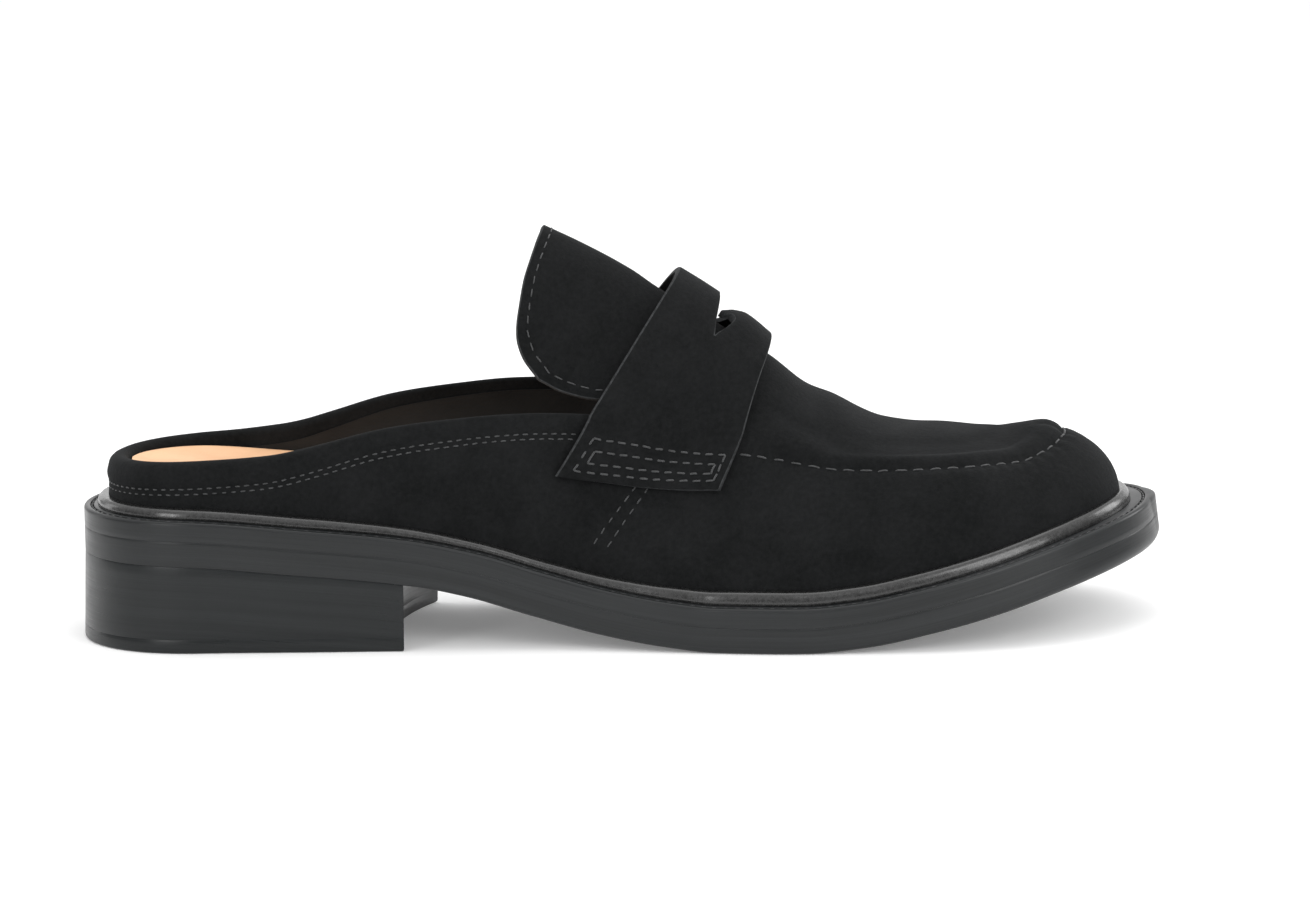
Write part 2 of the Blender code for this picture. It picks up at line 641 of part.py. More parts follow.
def make_saddle_strap():
    """Band over the instep from one side of the vamp to the other, with a slot at the crown."""
    wall_levels = 3
    spread = STRAP_FRONT - STRAP_REAR
    sample = np.linspace(1.0, 2.0, 41)
    middle = rib(np.full(41, loop_place(STRAP_REAR + SLOT_PLACE * spread, -1)), sample)
    steps = np.linalg.norm(np.diff(middle, axis=0), axis=1)
    from_crown = np.append(np.cumsum(steps[::-1])[::-1], 0.0)
    tip = np.interp(SLOT_HALF_LENGTH, from_crown[::-1], sample[::-1])
    over = np.concatenate([np.linspace(1.0, tip, 5)[:-1], np.linspace(tip, 2.0, 7)])
    reach = np.interp(over, sample, from_crown) / SLOT_HALF_LENGTH

    level = np.arange(wall_levels + len(over))
    level = np.concatenate([level, level[-2::-1]])
    side = np.where(np.arange(len(level)) < (len(level) + 1) // 2, -1, 1)
    on_wall = level < wall_levels
    over_row = np.clip(level - wall_levels, 0, None)
    reach = np.where(on_wall, 1.0, np.minimum(reach[over_row], 1.0))
    open_rear, open_front = (through(SLOT_EDGES, column, reach) for column in (1, 2))
    near_slot = 1 - reach ** 2

    def line(share):
        """Outer and inner points along the strap, at a share of its width on each row."""
        tuck = STRAP_TUCK * share * np.where(on_wall, 1.0, np.clip(1 - 2 * (over[over_row] - 1), 0, 1))
        place = loop_place(STRAP_REAR + spread * share - tuck, side)
        height = STRAP_LOW_REAR + (STRAP_LOW_FRONT - STRAP_LOW_REAR) * share
        low = np.array([share_at(*pair) for pair in zip(place, height)])
        climb = low + (1 - low) * level / wall_levels
        up = np.where(on_wall, climb, over[over_row])
        base, normal = rib(place, up), rib_normal(place, up)
        at_slot, away = (through(LIFT_PROFILE, column, share) for column in (1, 2))
        lift = away + (at_slot - away) * near_slot
        off = STRAP_GAP + STRAP_LIFT * fade(up, 1.0, 1.75) * lift
        inner = base + normal * off[:, None]
        return inner + normal * STRAP_WALL, inner

    parts = np.linspace(0.0, 1.0, 5)
    rear = [line((SLOT_PLACE - open_rear) * part) for part in parts]
    front = [line(SLOT_PLACE + open_front + (1 - SLOT_PLACE - open_front) * part) for part in parts]
    patches = []
    for band in (rear, front):
        outer, inner = (np.stack([pair[face] for pair in band]) for face in (0, 1))
        patches += [outer, inner]
        patches += [np.stack([outer[:, end], inner[:, end]]) for end in (0, -1)]
    slot = np.flatnonzero(reach < 0.999)
    slot = slice(slot[0] - 1, slot[-1] + 2)
    patches += [np.stack(rear[0]), np.stack(front[-1])]
    patches += [np.stack(pair)[:, slot] for pair in (rear[-1], front[0])]
    return solid("saddle_strap", patches, SUEDE_BLACK, SUEDE_ROUGHNESS)


def stand_at_origin(objects):
    """Move the shoe so that the middle of its box is over the origin."""
    points = np.array([vertex.co for made in objects for vertex in made.data.vertices])
    low, high = points.min(0), points.max(0)
    shift = Matrix.Translation((-(low[0] + high[0]) / 2, -(low[1] + high[1]) / 2, -low[2]))
    for made in objects:
        made.data.transform(shift)


def main():
    for old in list(bpy.data.objects):
        bpy.data.objects.remove(old)
    stand_at_origin([
        make_outsole(),
        make_welt(),
        make_rand(),
        make_heel_block(),
        make_insole(),
        make_upper(),
        make_tongue(),
        make_saddle_strap(),
    ])


main()
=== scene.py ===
"""Looks of a suede penny-loafer mule, the right shoe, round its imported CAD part.

Metres, +Z up, toe towards +X, outer side of the foot towards -Y, and the floor at Z = 0.

The shape functions are those of the CAD source, at a finer pitch. They use the last's own
lengths, measured from the back of the heel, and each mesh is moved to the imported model's place
when it is made. A place is a share of the tread's outline: 0 at the back of the heel, 0.5 at
the toe, the outer side first. A station is a share of the sole's length. A rib rises from the
sole to the top edge (share 0 to 1) and on over the apron to the crown (share 1 to 2).
"""
import math

import bmesh
import bpy
import numpy as np
from mathutils import Matrix, Vector


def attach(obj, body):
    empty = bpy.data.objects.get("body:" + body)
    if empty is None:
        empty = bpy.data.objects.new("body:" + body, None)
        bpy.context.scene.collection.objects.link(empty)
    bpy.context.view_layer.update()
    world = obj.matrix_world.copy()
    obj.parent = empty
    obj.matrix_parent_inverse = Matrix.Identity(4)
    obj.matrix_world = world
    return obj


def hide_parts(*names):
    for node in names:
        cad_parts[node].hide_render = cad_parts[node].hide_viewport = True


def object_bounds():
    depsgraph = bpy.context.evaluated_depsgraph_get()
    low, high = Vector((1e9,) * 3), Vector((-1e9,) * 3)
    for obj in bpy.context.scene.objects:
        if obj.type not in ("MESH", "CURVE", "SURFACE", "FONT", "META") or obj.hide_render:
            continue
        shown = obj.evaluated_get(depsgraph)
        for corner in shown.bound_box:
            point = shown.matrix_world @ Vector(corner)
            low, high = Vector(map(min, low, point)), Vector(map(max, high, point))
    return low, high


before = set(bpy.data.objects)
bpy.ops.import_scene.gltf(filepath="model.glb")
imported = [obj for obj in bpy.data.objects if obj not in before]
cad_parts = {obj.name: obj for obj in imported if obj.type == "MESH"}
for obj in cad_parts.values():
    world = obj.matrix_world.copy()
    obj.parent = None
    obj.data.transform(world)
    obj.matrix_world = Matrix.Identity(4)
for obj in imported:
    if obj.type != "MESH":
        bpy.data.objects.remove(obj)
CAD_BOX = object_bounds()

# Sole
SOLE_LENGTH = 0.266         # tread outline, heel to toe
BALL_WIDTH = 0.095          # tread outline, widest
OUTSOLE_THICKNESS = 0.0062
WELT_THICKNESS = 0.0045
HEEL_HEIGHT = 0.0215        # block under the outsole, at the back
TOE_SPRING = 0.0190         # underside of the toe above the floor
TREAD_ROUND = 0.0012        # rounded lower edge of the outsole
TREAD_ROUND_TOE = 0.0026
HEEL_ROUND = 0.12           # share of the length taken by the round of the heel
HEEL_POWER = 2.1            # 2 is an ellipse, more is squarer
TOE_START = 0.74            # station where the round of the toe starts
TOE_POWER = 2.5

# Heel block
BREAST_OUTER = 0.0808       # heel breast from the back of the sole, outer corner
BREAST_INNER = 0.0852
BREAST_HOLLOW = 0.0058      # how far the breast curves in
HEEL_TAPER = 0.0004         # the block is this much narrower on each side at the floor
HEEL_RAKE = 0.0014          # its back stands this much further out at the floor

# Rim of the sole, and the rand that covers the join with the upper
RIM_WIDTH = 0.0060          # from the edge of the sole to the upper, at the sides
RIM_TOE_EXTRA = 0.0017      # wider round the toe
GROOVE_INSET = 0.0013       # stitch groove, from the edge of the sole
GROOVE_WIDTH = 0.0013
GROOVE_DEPTH = 0.0008
RAND_WIDTH = 0.0024
RAND_HEIGHT = 0.0032        # at the forefoot
RAND_TILT = 0.0007          # its top stands this much further out than its foot

# Upper
UPPER_WALL = 0.0020
COLLAR_WALL = 0.0048        # padded round the heel
TOPLINE_HEIGHT = 0.0384     # top edge above the rim of the sole, highest place
EDGE_INSET = 0.0200         # how far the top edge leans in at the toe
EDGE_LEAN = 0.0210          # how far a rib leans towards the toe, at the instep
WALL_BULGE = 0.0016
BULGE_START = 0.010         # height of a wall that starts to bulge
BULGE_FULL = 0.025
INSTEP_HEIGHT = 0.0806      # crown above the rim of the sole, at the end of the tongue
CROWN_POWER = 2.3           # roundness of the arch over the instep
THROAT = 0.425              # station of the rib where the open throat ends
SEAM_DISTANCE = 0.0060      # moccasin seam below the top edge
SEAM_ROLL = 0.0007          # raised roll above the seam
SEAM_DEPTH = 0.0006
SEAM_START = 0.572          # station where the raised seam comes out of the strap
SEAM_FADE = 0.030

# Tongue
TONGUE_LENGTH = 0.0414
TONGUE_WALL = 0.0022
TONGUE_SLOPE = 0.556        # angle above the horizontal, radians
TONGUE_DROP = 0.0345        # depth of its arch, where it is deepest
TONGUE_NARROWING = 0.0015   # on each side, behind the strap
TONGUE_SINK = 0.0008        # below the apron's surface, to clear the strap
TONGUE_BLEND = 0.0120       # length over which it narrows from the apron's width

# Saddle strap
STRAP_WALL = 0.0019
STRAP_GAP = 0.0006          # under the strap, over the upper
STRAP_REAR = 0.386          # stations of the ribs that its edges follow
STRAP_FRONT = 0.553
STRAP_LOW_REAR = 0.0195     # lower end above the rim of the sole
STRAP_LOW_FRONT = 0.0250
STRAP_LIFT = 0.0039         # how far it stands off the instep at the crown
STRAP_TUCK = 0.0050         # station by which the front edge runs back at its low end
SLOT_HALF_LENGTH = 0.0135
SLOT_PLACE = 0.48           # share of the strap's width, from its rear edge

# Insole
INSOLE_HEEL = 0.0108        # top above the rim of the sole, along its edge
INSOLE_FOREFOOT = 0.0045
INSOLE_CUP = 0.0016

FIT_GAP = 0.0003            # between pieces that meet

# Columns: station, outer half width, inner half width, both as shares of the ball width
OUTLINE = (
    (0.12, 0.340, 0.332),
    (0.20, 0.349, 0.322),
    (0.30, 0.358, 0.290),
    (0.42, 0.374, 0.284),
    (0.55, 0.442, 0.379),
    (0.66, 0.493, 0.468),
    (0.74, 0.497, 0.500),
)

# Columns: station, share of the heel's height, share of the toe spring, under the outsole
SOLE_PROFILE = (
    (0.000, 1.000, 0.000),
    (0.100, 0.977, 0.000),
    (0.200, 0.876, 0.000),
    (0.300, 0.750, 0.000),
    (0.360, 0.600, 0.000),
    (0.420, 0.375, 0.000),
    (0.480, 0.178, 0.000),
    (0.540, 0.052, 0.000),
    (0.585, 0.000, 0.000),
    (0.665, 0.000, 0.000),
    (0.720, 0.000, 0.065),
    (0.780, 0.000, 0.230),
    (0.840, 0.000, 0.435),
    (0.900, 0.000, 0.670),
    (0.960, 0.000, 0.880),
    (1.000, 0.000, 1.000),
)

# Columns: station, height of the top edge (outer, inner side), its inset (outer, inner), its lean
TOP_EDGE = (
    (0.000, 0.262, 0.262, 0.03, 0.03, 0.00),
    (0.110, 0.297, 0.303, 0.02, 0.02, 0.00),
    (0.170, 0.360, 0.378, 0.02, 0.02, 0.00),
    (0.226, 0.482, 0.510, 0.04, -0.03, 0.00),
    (0.270, 0.610, 0.652, 0.07, -0.09, 0.10),
    (0.316, 0.720, 0.768, 0.10, -0.14, 0.30),
    (0.345, 0.790, 0.840, 0.13, -0.17, 0.55),
    (0.386, 0.865, 0.902, 0.15, -0.18, 0.93),
    (0.434, 0.923, 0.932, 0.25, -0.10, 1.00),
    (0.492, 0.984, 0.984, 0.42, 0.12, 0.83),
    (0.556, 1.000, 1.000, 0.56, 0.36, 0.60),
    (0.640, 0.927, 0.927, 0.70, 0.62, 0.36),
    (0.720, 0.833, 0.833, 0.80, 0.78, 0.15),
    (0.800, 0.708, 0.708, 0.86, 0.86, 0.00),
    (0.860, 0.612, 0.612, 0.90, 0.90, 0.00),
    (0.930, 0.505, 0.505, 0.95, 0.95, 0.00),
    (0.970, 0.495, 0.495, 0.98, 0.98, 0.00),
    (1.000, 0.503, 0.503, 1.00, 1.00, 0.00),
)

# Columns: station of a rib's foot, station of its crown
CROWN_STATION = (
    (0.300, 0.440),
    (0.386, 0.545),
    (0.434, 0.573),
    (0.492, 0.603),
    (0.556, 0.635),
    (0.640, 0.680),
    (0.720, 0.731),
    (0.800, 0.777),
    (0.860, 0.807),
    (0.930, 0.832),
    (1.000, 0.850),
)

# Columns: station on the crown, height above the rim of the sole there
CROWN_PROFILE = (
    (0.435, 1.008),
    (0.469, 0.985),
    (0.515, 0.931),
    (0.537, 0.890),
    (0.564, 0.840),
    (0.600, 0.762),
    (0.641, 0.674),
    (0.675, 0.582),
    (0.698, 0.543),
    (0.720, 0.490),
    (0.744, 0.443),
    (0.767, 0.412),
    (0.790, 0.390),
    (0.837, 0.341),
    (0.861, 0.325),
    (0.885, 0.313),
)

# Columns: share of the slot's half length from the crown, how far its rear edge and its front
# edge open, as shares of the strap's width. The front edge comes back to a point at the crown.
SLOT_EDGES = (
    (0.00, 0.100, -0.004),
    (0.10, 0.094, 0.012),
    (0.25, 0.080, 0.088),
    (0.45, 0.056, 0.118),
    (0.70, 0.030, 0.080),
    (0.88, 0.011, 0.028),
    (1.00, 0.000, 0.000),
)

# Columns: share of the strap's width, lift off the apron at the crown, lift away from the slot
LIFT_PROFILE = (
    (0.00, 1.00, 1.00),
    (0.38, 1.10, 0.83),
    (0.48, 0.26, 0.78),
    (0.58, 0.60, 0.74),
    (0.70, 0.84, 0.68),
    (1.00, 0.56, 0.56),
)

# Columns: share of the tongue's width, share of its length
TONGUE_END = (
    (0.00, 1.000),
    (0.35, 0.988),
    (0.62, 0.951),
    (0.79, 0.883),
    (0.90, 0.806),
    (0.96, 0.705),
    (1.00, 0.560),
)

LOOP_STATIONS = 48          # of the CAD's loop on each side, which fix the low corner of its box

# Meshes: rows, columns and how they are joined
PLACES = 720                        # round the loop
WALL_EVEN_ROWS = 14                 # below the band near the edge
APRON_EDGE_ROWS = 16
APRON_ROWS = 26
APRON_EDGE = 0.22                   # share of the apron with finer rows
TONGUE_ROWS = 40
TONGUE_COLUMNS = 100
LIP_STEPS = 8
WELD_DISTANCE = 4e-6
SHARP_ANGLE = 38.0                  # degrees between faces that meet in a sharp edge
OPEN_EDGE = 0.97                    # share of a rib where an open edge takes its normal
CREST = 1.86                        # share of a rib where its crown starts
# Distances from the top edge of the rows near it
EDGE_DISTANCES = (0.0, 0.0004, 0.0008, 0.0013, 0.0018, 0.0023, 0.0028, 0.0033, 0.0037, 0.0041,
                  0.0045, 0.0049, 0.0053, 0.0057, 0.0061, 0.0066, 0.0074, 0.0086, 0.0104, 0.0130)

# Edges of the suede and its lining
TURN_IN = 0.0035                    # suede turned in over the edge, before the lining starts
LINING_RAISE = 0.0003
COLLAR_PUFF = 0.0005                # padding between the edge and its stitches
TONGUE_TRIM = 0.97                  # the tongue's width as a share of the throat's
TONGUE_EDGE_ROUND = 0.0004
STRAP_EDGE_ROUND = 0.0005

# Stitching: length of a stitch, pitch, thread radius
TOPLINE_STITCH = (0.0013, 0.0023, 0.00016)
MOC_STITCH = (0.0026, 0.0042, 0.00022)
STRAP_STITCH = (0.0019, 0.0031, 0.00022)
SEAM_STITCH = (0.0018, 0.0030, 0.00016)
TONGUE_STITCH = (0.0020, 0.0034, 0.00015)
RIM_STITCH = (0.0018, 0.0028, 0.00024)
TOPLINE_ROWS = (0.0046, 0.0060)     # below the top edge
TONGUE_ROW = 0.0021                 # inside the tongue's edge
TONGUE_THREAD_PLACE = 0.968         # of its stitches, as a share of its half width
SIDE_SEAM_TOP = 0.480               # station of the side seam under the strap
SIDE_SEAM_FOOT = 0.462
SIDE_SEAM_ROWS = (-0.0016, -0.0051) # of its stitches, behind the seam
SIDE_SEAM_STEP = 0.00045            # the front part lies this much lower
SIDE_SEAM_STEP_FADE = 0.006
SIDE_SEAM_END = 0.0085              # above the foot of the upper, where its stitches start
SIDE_SEAM_SHARE = 0.62              # of the wall that its stitches cover
TOPLINE_END = 0.405                 # station where the topline's stitches end
STITCH_DENT = 0.00022
DENT_WIDTH = 0.0005
SIDE_DENT_WIDTH = 0.0006
PUCKER = 0.00014                    # gathers between the stitches of the moccasin seam
PUCKER_WIDTH = 0.0016

# Boxes of stitches on the strap's ends. Columns: rear and front share of the strap's width, then
# heights above its low end: lower line at the rear and front, upper line at the rear and front
STRAP_BOXES = (
    (0.065, 0.935, 0.0018, 0.0018, 0.0094, 0.0078),
    (0.105, 0.890, 0.0038, 0.0034, 0.0066, 0.0056),
)

# Creases: start and end in the last's lengths, half width, depth (more than 0 is a hollow)
CREASES = (
    ((0.176, -0.030, 0.043), (0.205, -0.034, 0.040), 0.0034, 0.0005),
    ((0.172, -0.022, 0.055), (0.190, -0.026, 0.047), 0.0028, 0.0005),
    ((0.183, 0.016, 0.054), (0.198, 0.021, 0.047), 0.0030, 0.0005),
    ((0.196, -0.014, 0.050), (0.207, 0.010, 0.049), 0.0040, 0.0004),
    ((0.187, -0.010, 0.056), (0.193, 0.012, 0.053), 0.0034, -0.0003),
    ((0.230, -0.018, 0.045), (0.236, -0.024, 0.043), 0.0016, 0.0004),
    ((0.235, -0.011, 0.047), (0.241, -0.015, 0.045), 0.0015, 0.0004),
    ((0.237, -0.003, 0.048), (0.243, -0.004, 0.046), 0.0015, 0.0004),
    ((0.236, 0.006, 0.048), (0.242, 0.009, 0.046), 0.0015, 0.0004),
    ((0.231, 0.015, 0.046), (0.236, 0.020, 0.044), 0.0016, 0.0004),
    ((0.150, -0.040, 0.026), (0.172, -0.043, 0.020), 0.0060, 0.0004),
    ((0.095, -0.033, 0.040), (0.122, -0.034, 0.043), 0.0060, 0.0004),
)

# Layers of the sole and the heel
LAYER_LINE = 0.00012                # chamfer at the line between two layers
LAYER_REACH = 0.006                 # how far a hidden face of a layer runs in
WELT_REACH = 0.014
TOUCH = 0.00001                     # between layers that lie on each other
JOIN_ROUND = 0.0002                 # edge of the outsole over the heel block
RIM_BEVEL = 0.0008
GROOVE_EASE = 0.0001                # softened edges of the stitch groove
RAND_HEEL_LOSS = 0.25               # share by which the rand is lower at the heel
RAND_WAIST_LOSS = 0.22              # and at the waist as well
RAND_FOOT_SHARE = 0.16              # share of its height below the middle of its round
HEEL_MIDDLE = 0.042                 # from the back of the heel
HEEL_BEVEL = 0.0006
LIFT_HEIGHT = 0.0034                # rubber lift at the floor
LIFT_GROOVE = 0.0002                # half width of the line over it

# Footbed
FOOTBED_GAP = 0.0004                # from the lining
FOOTBED_ROLL = 0.0007               # rolled edge
FOOTBED_ROLL_WIDTH = 0.0009
FOOTBED_SKIRT = 0.004               # how far its edge goes down out of sight
FOOTBED_COLUMNS = 44

# Studio. Columns: name, place, what it looks at, size, power
LIGHTS = (
    ("overhead", (0.0, 0.1, 1.5), (0.0, 0.0, 0.0), (1.4, 1.0), 4.0),
    ("front_strip", (-0.80, -1.02, 0.42), (-0.11, 0.0, 0.03), (0.34, 0.6), 3.4),
    ("heel_rim", (-1.15, 0.62, 0.30), (-0.12, 0.0, 0.03), (0.4, 0.6), 1.1),
    ("front_right", (0.55, -1.05, 0.72), (0.08, 0.0, 0.02), (0.9, 0.4), 4.5),
    ("low_right", (0.80, -1.00, 0.34), (0.08, 0.0, 0.02), (0.80, 0.30), 3.5),
    ("back_wall", (0.0, 1.70, 0.34), (0.0, 0.0, 0.04), (2.6, 0.60), 4.0),
    ("toe_rim", (1.1, 0.5, 0.55), (0.12, 0.0, 0.03), (0.5, 0.6), 3.5),
)
FLOOR_GLOW = 0.16
FLOOR_HALF = 14.0
FLOOR_GAP = 0.0001                  # under the shoe
SKY_LOW = 0.20                      # brightness of the sky at the horizon
SKY_HIGH = 1.30

# Camera: angles in degrees, distance to its target, and a lens in photo pixels
AZIMUTH, ELEVATION, ROLL = 0.8, 9.2, 1.3
CAMERA_DISTANCE = 1.038
CAMERA_TARGET = (0.0094, 0.0, 0.0427)
LENS_PIXELS = 4200
PHOTO_PIXELS = 1310
SENSOR = 36.0


def unit(vectors):
    """Vectors at length 1."""
    return vectors / np.linalg.norm(vectors, axis=-1, keepdims=True)


def run_of(line):
    """Distance of each point of a line from its start."""
    steps = np.linalg.norm(np.diff(line, axis=0), axis=1)
    return np.concatenate([[0.0], np.cumsum(steps)])


def through(rows, column, place, flat_ends=False):
    """Value of a table's column at places along its first column, with no overshoot."""
    across = np.array([row[0] for row in rows])
    value = np.array([row[column] for row in rows])
    step = np.diff(across)
    rise = np.diff(value) / step
    slope = np.zeros(len(across))
    before, after = rise[:-1], rise[1:]
    turning = before * after <= 0
    safe_before = np.where(turning, 1.0, before)
    safe_after = np.where(turning, 1.0, after)
    near, far = 2 * step[1:] + step[:-1], step[1:] + 2 * step[:-1]
    slope[1:-1] = np.where(turning, 0.0, (near + far) / (near / safe_before + far / safe_after))
    if not flat_ends:
        slope[0], slope[-1] = rise[0], rise[-1]
    place = np.clip(place, across[0], across[-1])
    cell = np.clip(np.searchsorted(across, place) - 1, 0, len(step) - 1)
    share = (place - across[cell]) / step[cell]
    start, end = value[cell], value[cell + 1]
    pull_start, pull_end = slope[cell] * step[cell], slope[cell + 1] * step[cell]
    square, cube = share ** 2, share ** 3
    return (start * (2 * cube - 3 * square + 1) + end * (3 * square - 2 * cube)
            + pull_start * (cube - 2 * square + share) + pull_end * (cube - square))


def fade(place, start, end):
    """0 before start, 1 after end, with a soft rise between them."""
    share = np.clip((place - start) / (end - start), 0.0, 1.0)
    return share * share * (3 - 2 * share)


def half_width(station, column):
    """Half width of the tread at a station: column 1 is the outer side, 2 the inner."""
    middle = through(OUTLINE, column, station, flat_ends=True)
    heel = np.clip(1 - station / HEEL_ROUND, 0.0, 1.0)
    toe = np.clip((station - TOE_START) / (1 - TOE_START), 0.0, 1.0)
    round_heel = (1 - heel ** HEEL_POWER) ** (1 / HEEL_POWER)
    round_toe = np.sqrt(1 - toe ** TOE_POWER)
    return BALL_WIDTH * middle * round_heel * round_toe


def loop_place(station, side):
    """Share of the loop at a station, on the outer (-1) or inner (+1) side."""
    share = np.arccos(1 - 2 * np.asarray(station)) / (2 * np.pi)
    return np.where(np.asarray(side) < 0, share, 1 - share)


def loop_station(place):
    """Station of a place on the loop."""
    return (1 - np.cos(2 * np.pi * place)) / 2


def outline(place):
    """Plan points of the tread's outline."""
    station = loop_station(place)
    outer = -half_width(station, 1)
    inner = half_width(station, 2)
    return np.stack([station * SOLE_LENGTH, np.where(place % 1.0 < 0.5, outer, inner)], -1)


def inward(place):
    """Plan direction from the outline towards the inside of the shoe."""
    reach = 2e-3
    along = unit(outline(place + reach) - outline(place - reach))
    return np.stack([-along[..., 1], along[..., 0]], -1)


def underside(x):
    """Height of the outsole's underside, and its slope, at a length from the heel."""
    def height(station):
        return ((HEEL_HEIGHT + FIT_GAP) * through(SOLE_PROFILE, 1, station)
                + TOE_SPRING * through(SOLE_PROFILE, 2, station))
    reach = 0.004
    station = x / SOLE_LENGTH
    slope = (height(station + reach) - height(station - reach)) / (2 * reach * SOLE_LENGTH)
    return height(station), slope


def on_sole(place, inset, up):
    """Points inside the outline by an inset and above the tread, square to the sole."""
    plan = outline(place) + np.asarray(inset)[..., None] * inward(place)
    height, slope = underside(plan[..., 0])
    length = np.sqrt(1 + slope ** 2)
    return np.stack([plan[..., 0] - up * slope / length, plan[..., 1], height + up / length], -1)


RIM_LEVEL = OUTSOLE_THICKNESS + FIT_GAP + WELT_THICKNESS


def rim_height(x):
    """Height of the rim that the upper stands on, at a length from the heel."""
    height, slope = underside(x)
    return height + RIM_LEVEL * np.sqrt(1 + slope ** 2)


def feather_inset(station):
    """Distance from the edge of the sole to the foot of the upper."""
    return RIM_WIDTH + RIM_TOE_EXTRA * fade(station, 0.80, 1.0)


def wall_thickness(station):
    """Wall of the upper, padded round the heel."""
    return COLLAR_WALL + (UPPER_WALL - COLLAR_WALL) * fade(station, 0.16, 0.34)


def rib_feet(place):
    """Outer foot of each rib, standing on the rim."""
    return on_sole(place, feather_inset(loop_station(place)), RIM_LEVEL + FIT_GAP)


def rib_tops(place):
    """Place of the top edge of the upper on each rib."""
    station = loop_station(place)
    feet = rib_feet(place)
    inner = place % 1.0 >= 0.5
    inset = np.where(inner, through(TOP_EDGE, 4, station), through(TOP_EDGE, 3, station))
    tall = np.where(inner, through(TOP_EDGE, 2, station), through(TOP_EDGE, 1, station))
    tops = feet.copy()
    tops[..., :2] += EDGE_INSET * inset[..., None] * inward(place)
    tops[..., 0] += EDGE_LEAN * through(TOP_EDGE, 5, station)
    tops[..., 2] += TOPLINE_HEIGHT * tall
    return tops


def wall_length(place):
    """Straight distance from the foot of each rib to the top edge."""
    return np.linalg.norm(rib_tops(place) - rib_feet(place), axis=-1)


def crown(x):
    """Height of the crown of the instep and vamp at a length from the heel."""
    return rim_height(x) + INSTEP_HEIGHT * through(CROWN_PROFILE, 1, x / SOLE_LENGTH)


def rib(place, share):
    """Smooth outer surface. Share 0 to 1 is the wall, 1 to 2 the apron up to the crown."""
    station = loop_station(place)
    feet, tops = rib_feet(place), rib_tops(place)
    height = (tops - feet)[..., 2]
    out = np.concatenate([-inward(place), np.zeros(place.shape + (1,))], -1)
    lean_in = np.sum((feet - tops) * out, -1)
    roundness = fade(station, 0.45, 0.85)
    bulge = WALL_BULGE * fade(height, BULGE_START, BULGE_FULL)
    up = np.array([0.0, 0.0, 1.0])
    low = feet + (height * (0.40 + 0.15 * roundness))[..., None] * up + bulge[..., None] * out
    low[..., 0] += 0.30 * (tops - feet)[..., 0] * (1 - roundness)
    high = (tops - (height * (0.35 - 0.27 * roundness))[..., None] * up
            + (0.5 * lean_in * roundness + bulge)[..., None] * out)
    high[..., 0] -= 0.30 * (tops - feet)[..., 0] * (1 - roundness)
    wall = np.clip(share, 0.0, 1.0)[..., None]
    surface = ((1 - wall) ** 3 * feet + 3 * (1 - wall) ** 2 * wall * low
               + 3 * (1 - wall) * wall ** 2 * high + wall ** 3 * tops)
    apron = np.clip(share - 1.0, 0.0, 1.0)
    rise = 1 - (1 - apron) ** CROWN_POWER
    peak_x = SOLE_LENGTH * through(CROWN_STATION, 1, station)
    over = np.stack([tops[..., 0] + (peak_x - tops[..., 0]) * rise,
                     tops[..., 1] * (1 - apron),
                     tops[..., 2] + (crown(peak_x) - tops[..., 2]) * rise], -1)
    return np.where((share > 1.0)[..., None], over, surface)


def rib_normal(place, share):
    """Unit normal of the smooth outer surface, pointing out of the shoe."""
    share = np.minimum(share, 1.93)
    along = rib(place + 1e-3, share) - rib(place - 1e-3, share)
    rise = rib(place, share + 0.02) - rib(place, share - 0.02)
    return unit(np.cross(along, rise))


def relief(station, distance):
    """Height of the moccasin seam's roll and groove, at a distance below the top edge."""
    def bump(centre, width):
        return np.exp(-((distance - centre) / width) ** 2)
    seam = (SEAM_ROLL * bump(0.4 * SEAM_DISTANCE, 0.4 * SEAM_DISTANCE)
            - SEAM_DEPTH * bump(SEAM_DISTANCE, 0.2 * SEAM_DISTANCE)
            - 0.6 * SEAM_DEPTH * bump(-0.9 * SEAM_DISTANCE, 0.5 * SEAM_DISTANCE))
    return seam * fade(station, SEAM_START, SEAM_START + SEAM_FADE)


def share_at(place, above):
    """Share of a rib's wall at a height above its foot."""
    sample = np.linspace(0.0, 1.0, 41)
    height = rib(np.full(41, place), sample)[:, 2]
    return np.interp(above, height - height[0], sample)


def cap(ring, columns):
    """Grid that closes a ring by running across from its outer to its inner side."""
    half = (len(ring) - 1) // 2
    outer, inner = ring[:half + 1], ring[::-1][:half + 1]
    share = np.linspace(0.0, 1.0, columns + 1)[None, :, None]
    return outer[:, None] * (1 - share) + inner[:, None] * share


OUTLINE_LOW = outline(np.linspace(0.0, 1.0, 2 * LOOP_STATIONS + 1))[:, 1].min()
SHIFT = np.array([CAD_BOX[0][0] + HEEL_RAKE, CAD_BOX[0][1] - OUTLINE_LOW, CAD_BOX[0][2]])


def crease_offset(points):
    """Depth of the listed creases at points on the surface."""
    depth = np.zeros(points.shape[:-1])
    for start, end, width, deep in CREASES:
        start, end = np.array(start), np.array(end)
        along = end - start
        share = np.clip((points - start) @ along / (along @ along), 0.0, 1.0)
        away = np.linalg.norm(points - start - share[..., None] * along, axis=-1)
        depth += deep * np.exp(-(away / width) ** 2)
    return depth


def side_seam_distance(place, share):
    """Signed distance along the sole from the side seam, more than 0 towards the toe."""
    station = loop_station(place)
    seam = SIDE_SEAM_FOOT + (SIDE_SEAM_TOP - SIDE_SEAM_FOOT) * np.clip(share, 0.0, 1.0)
    return (station - seam) * SOLE_LENGTH


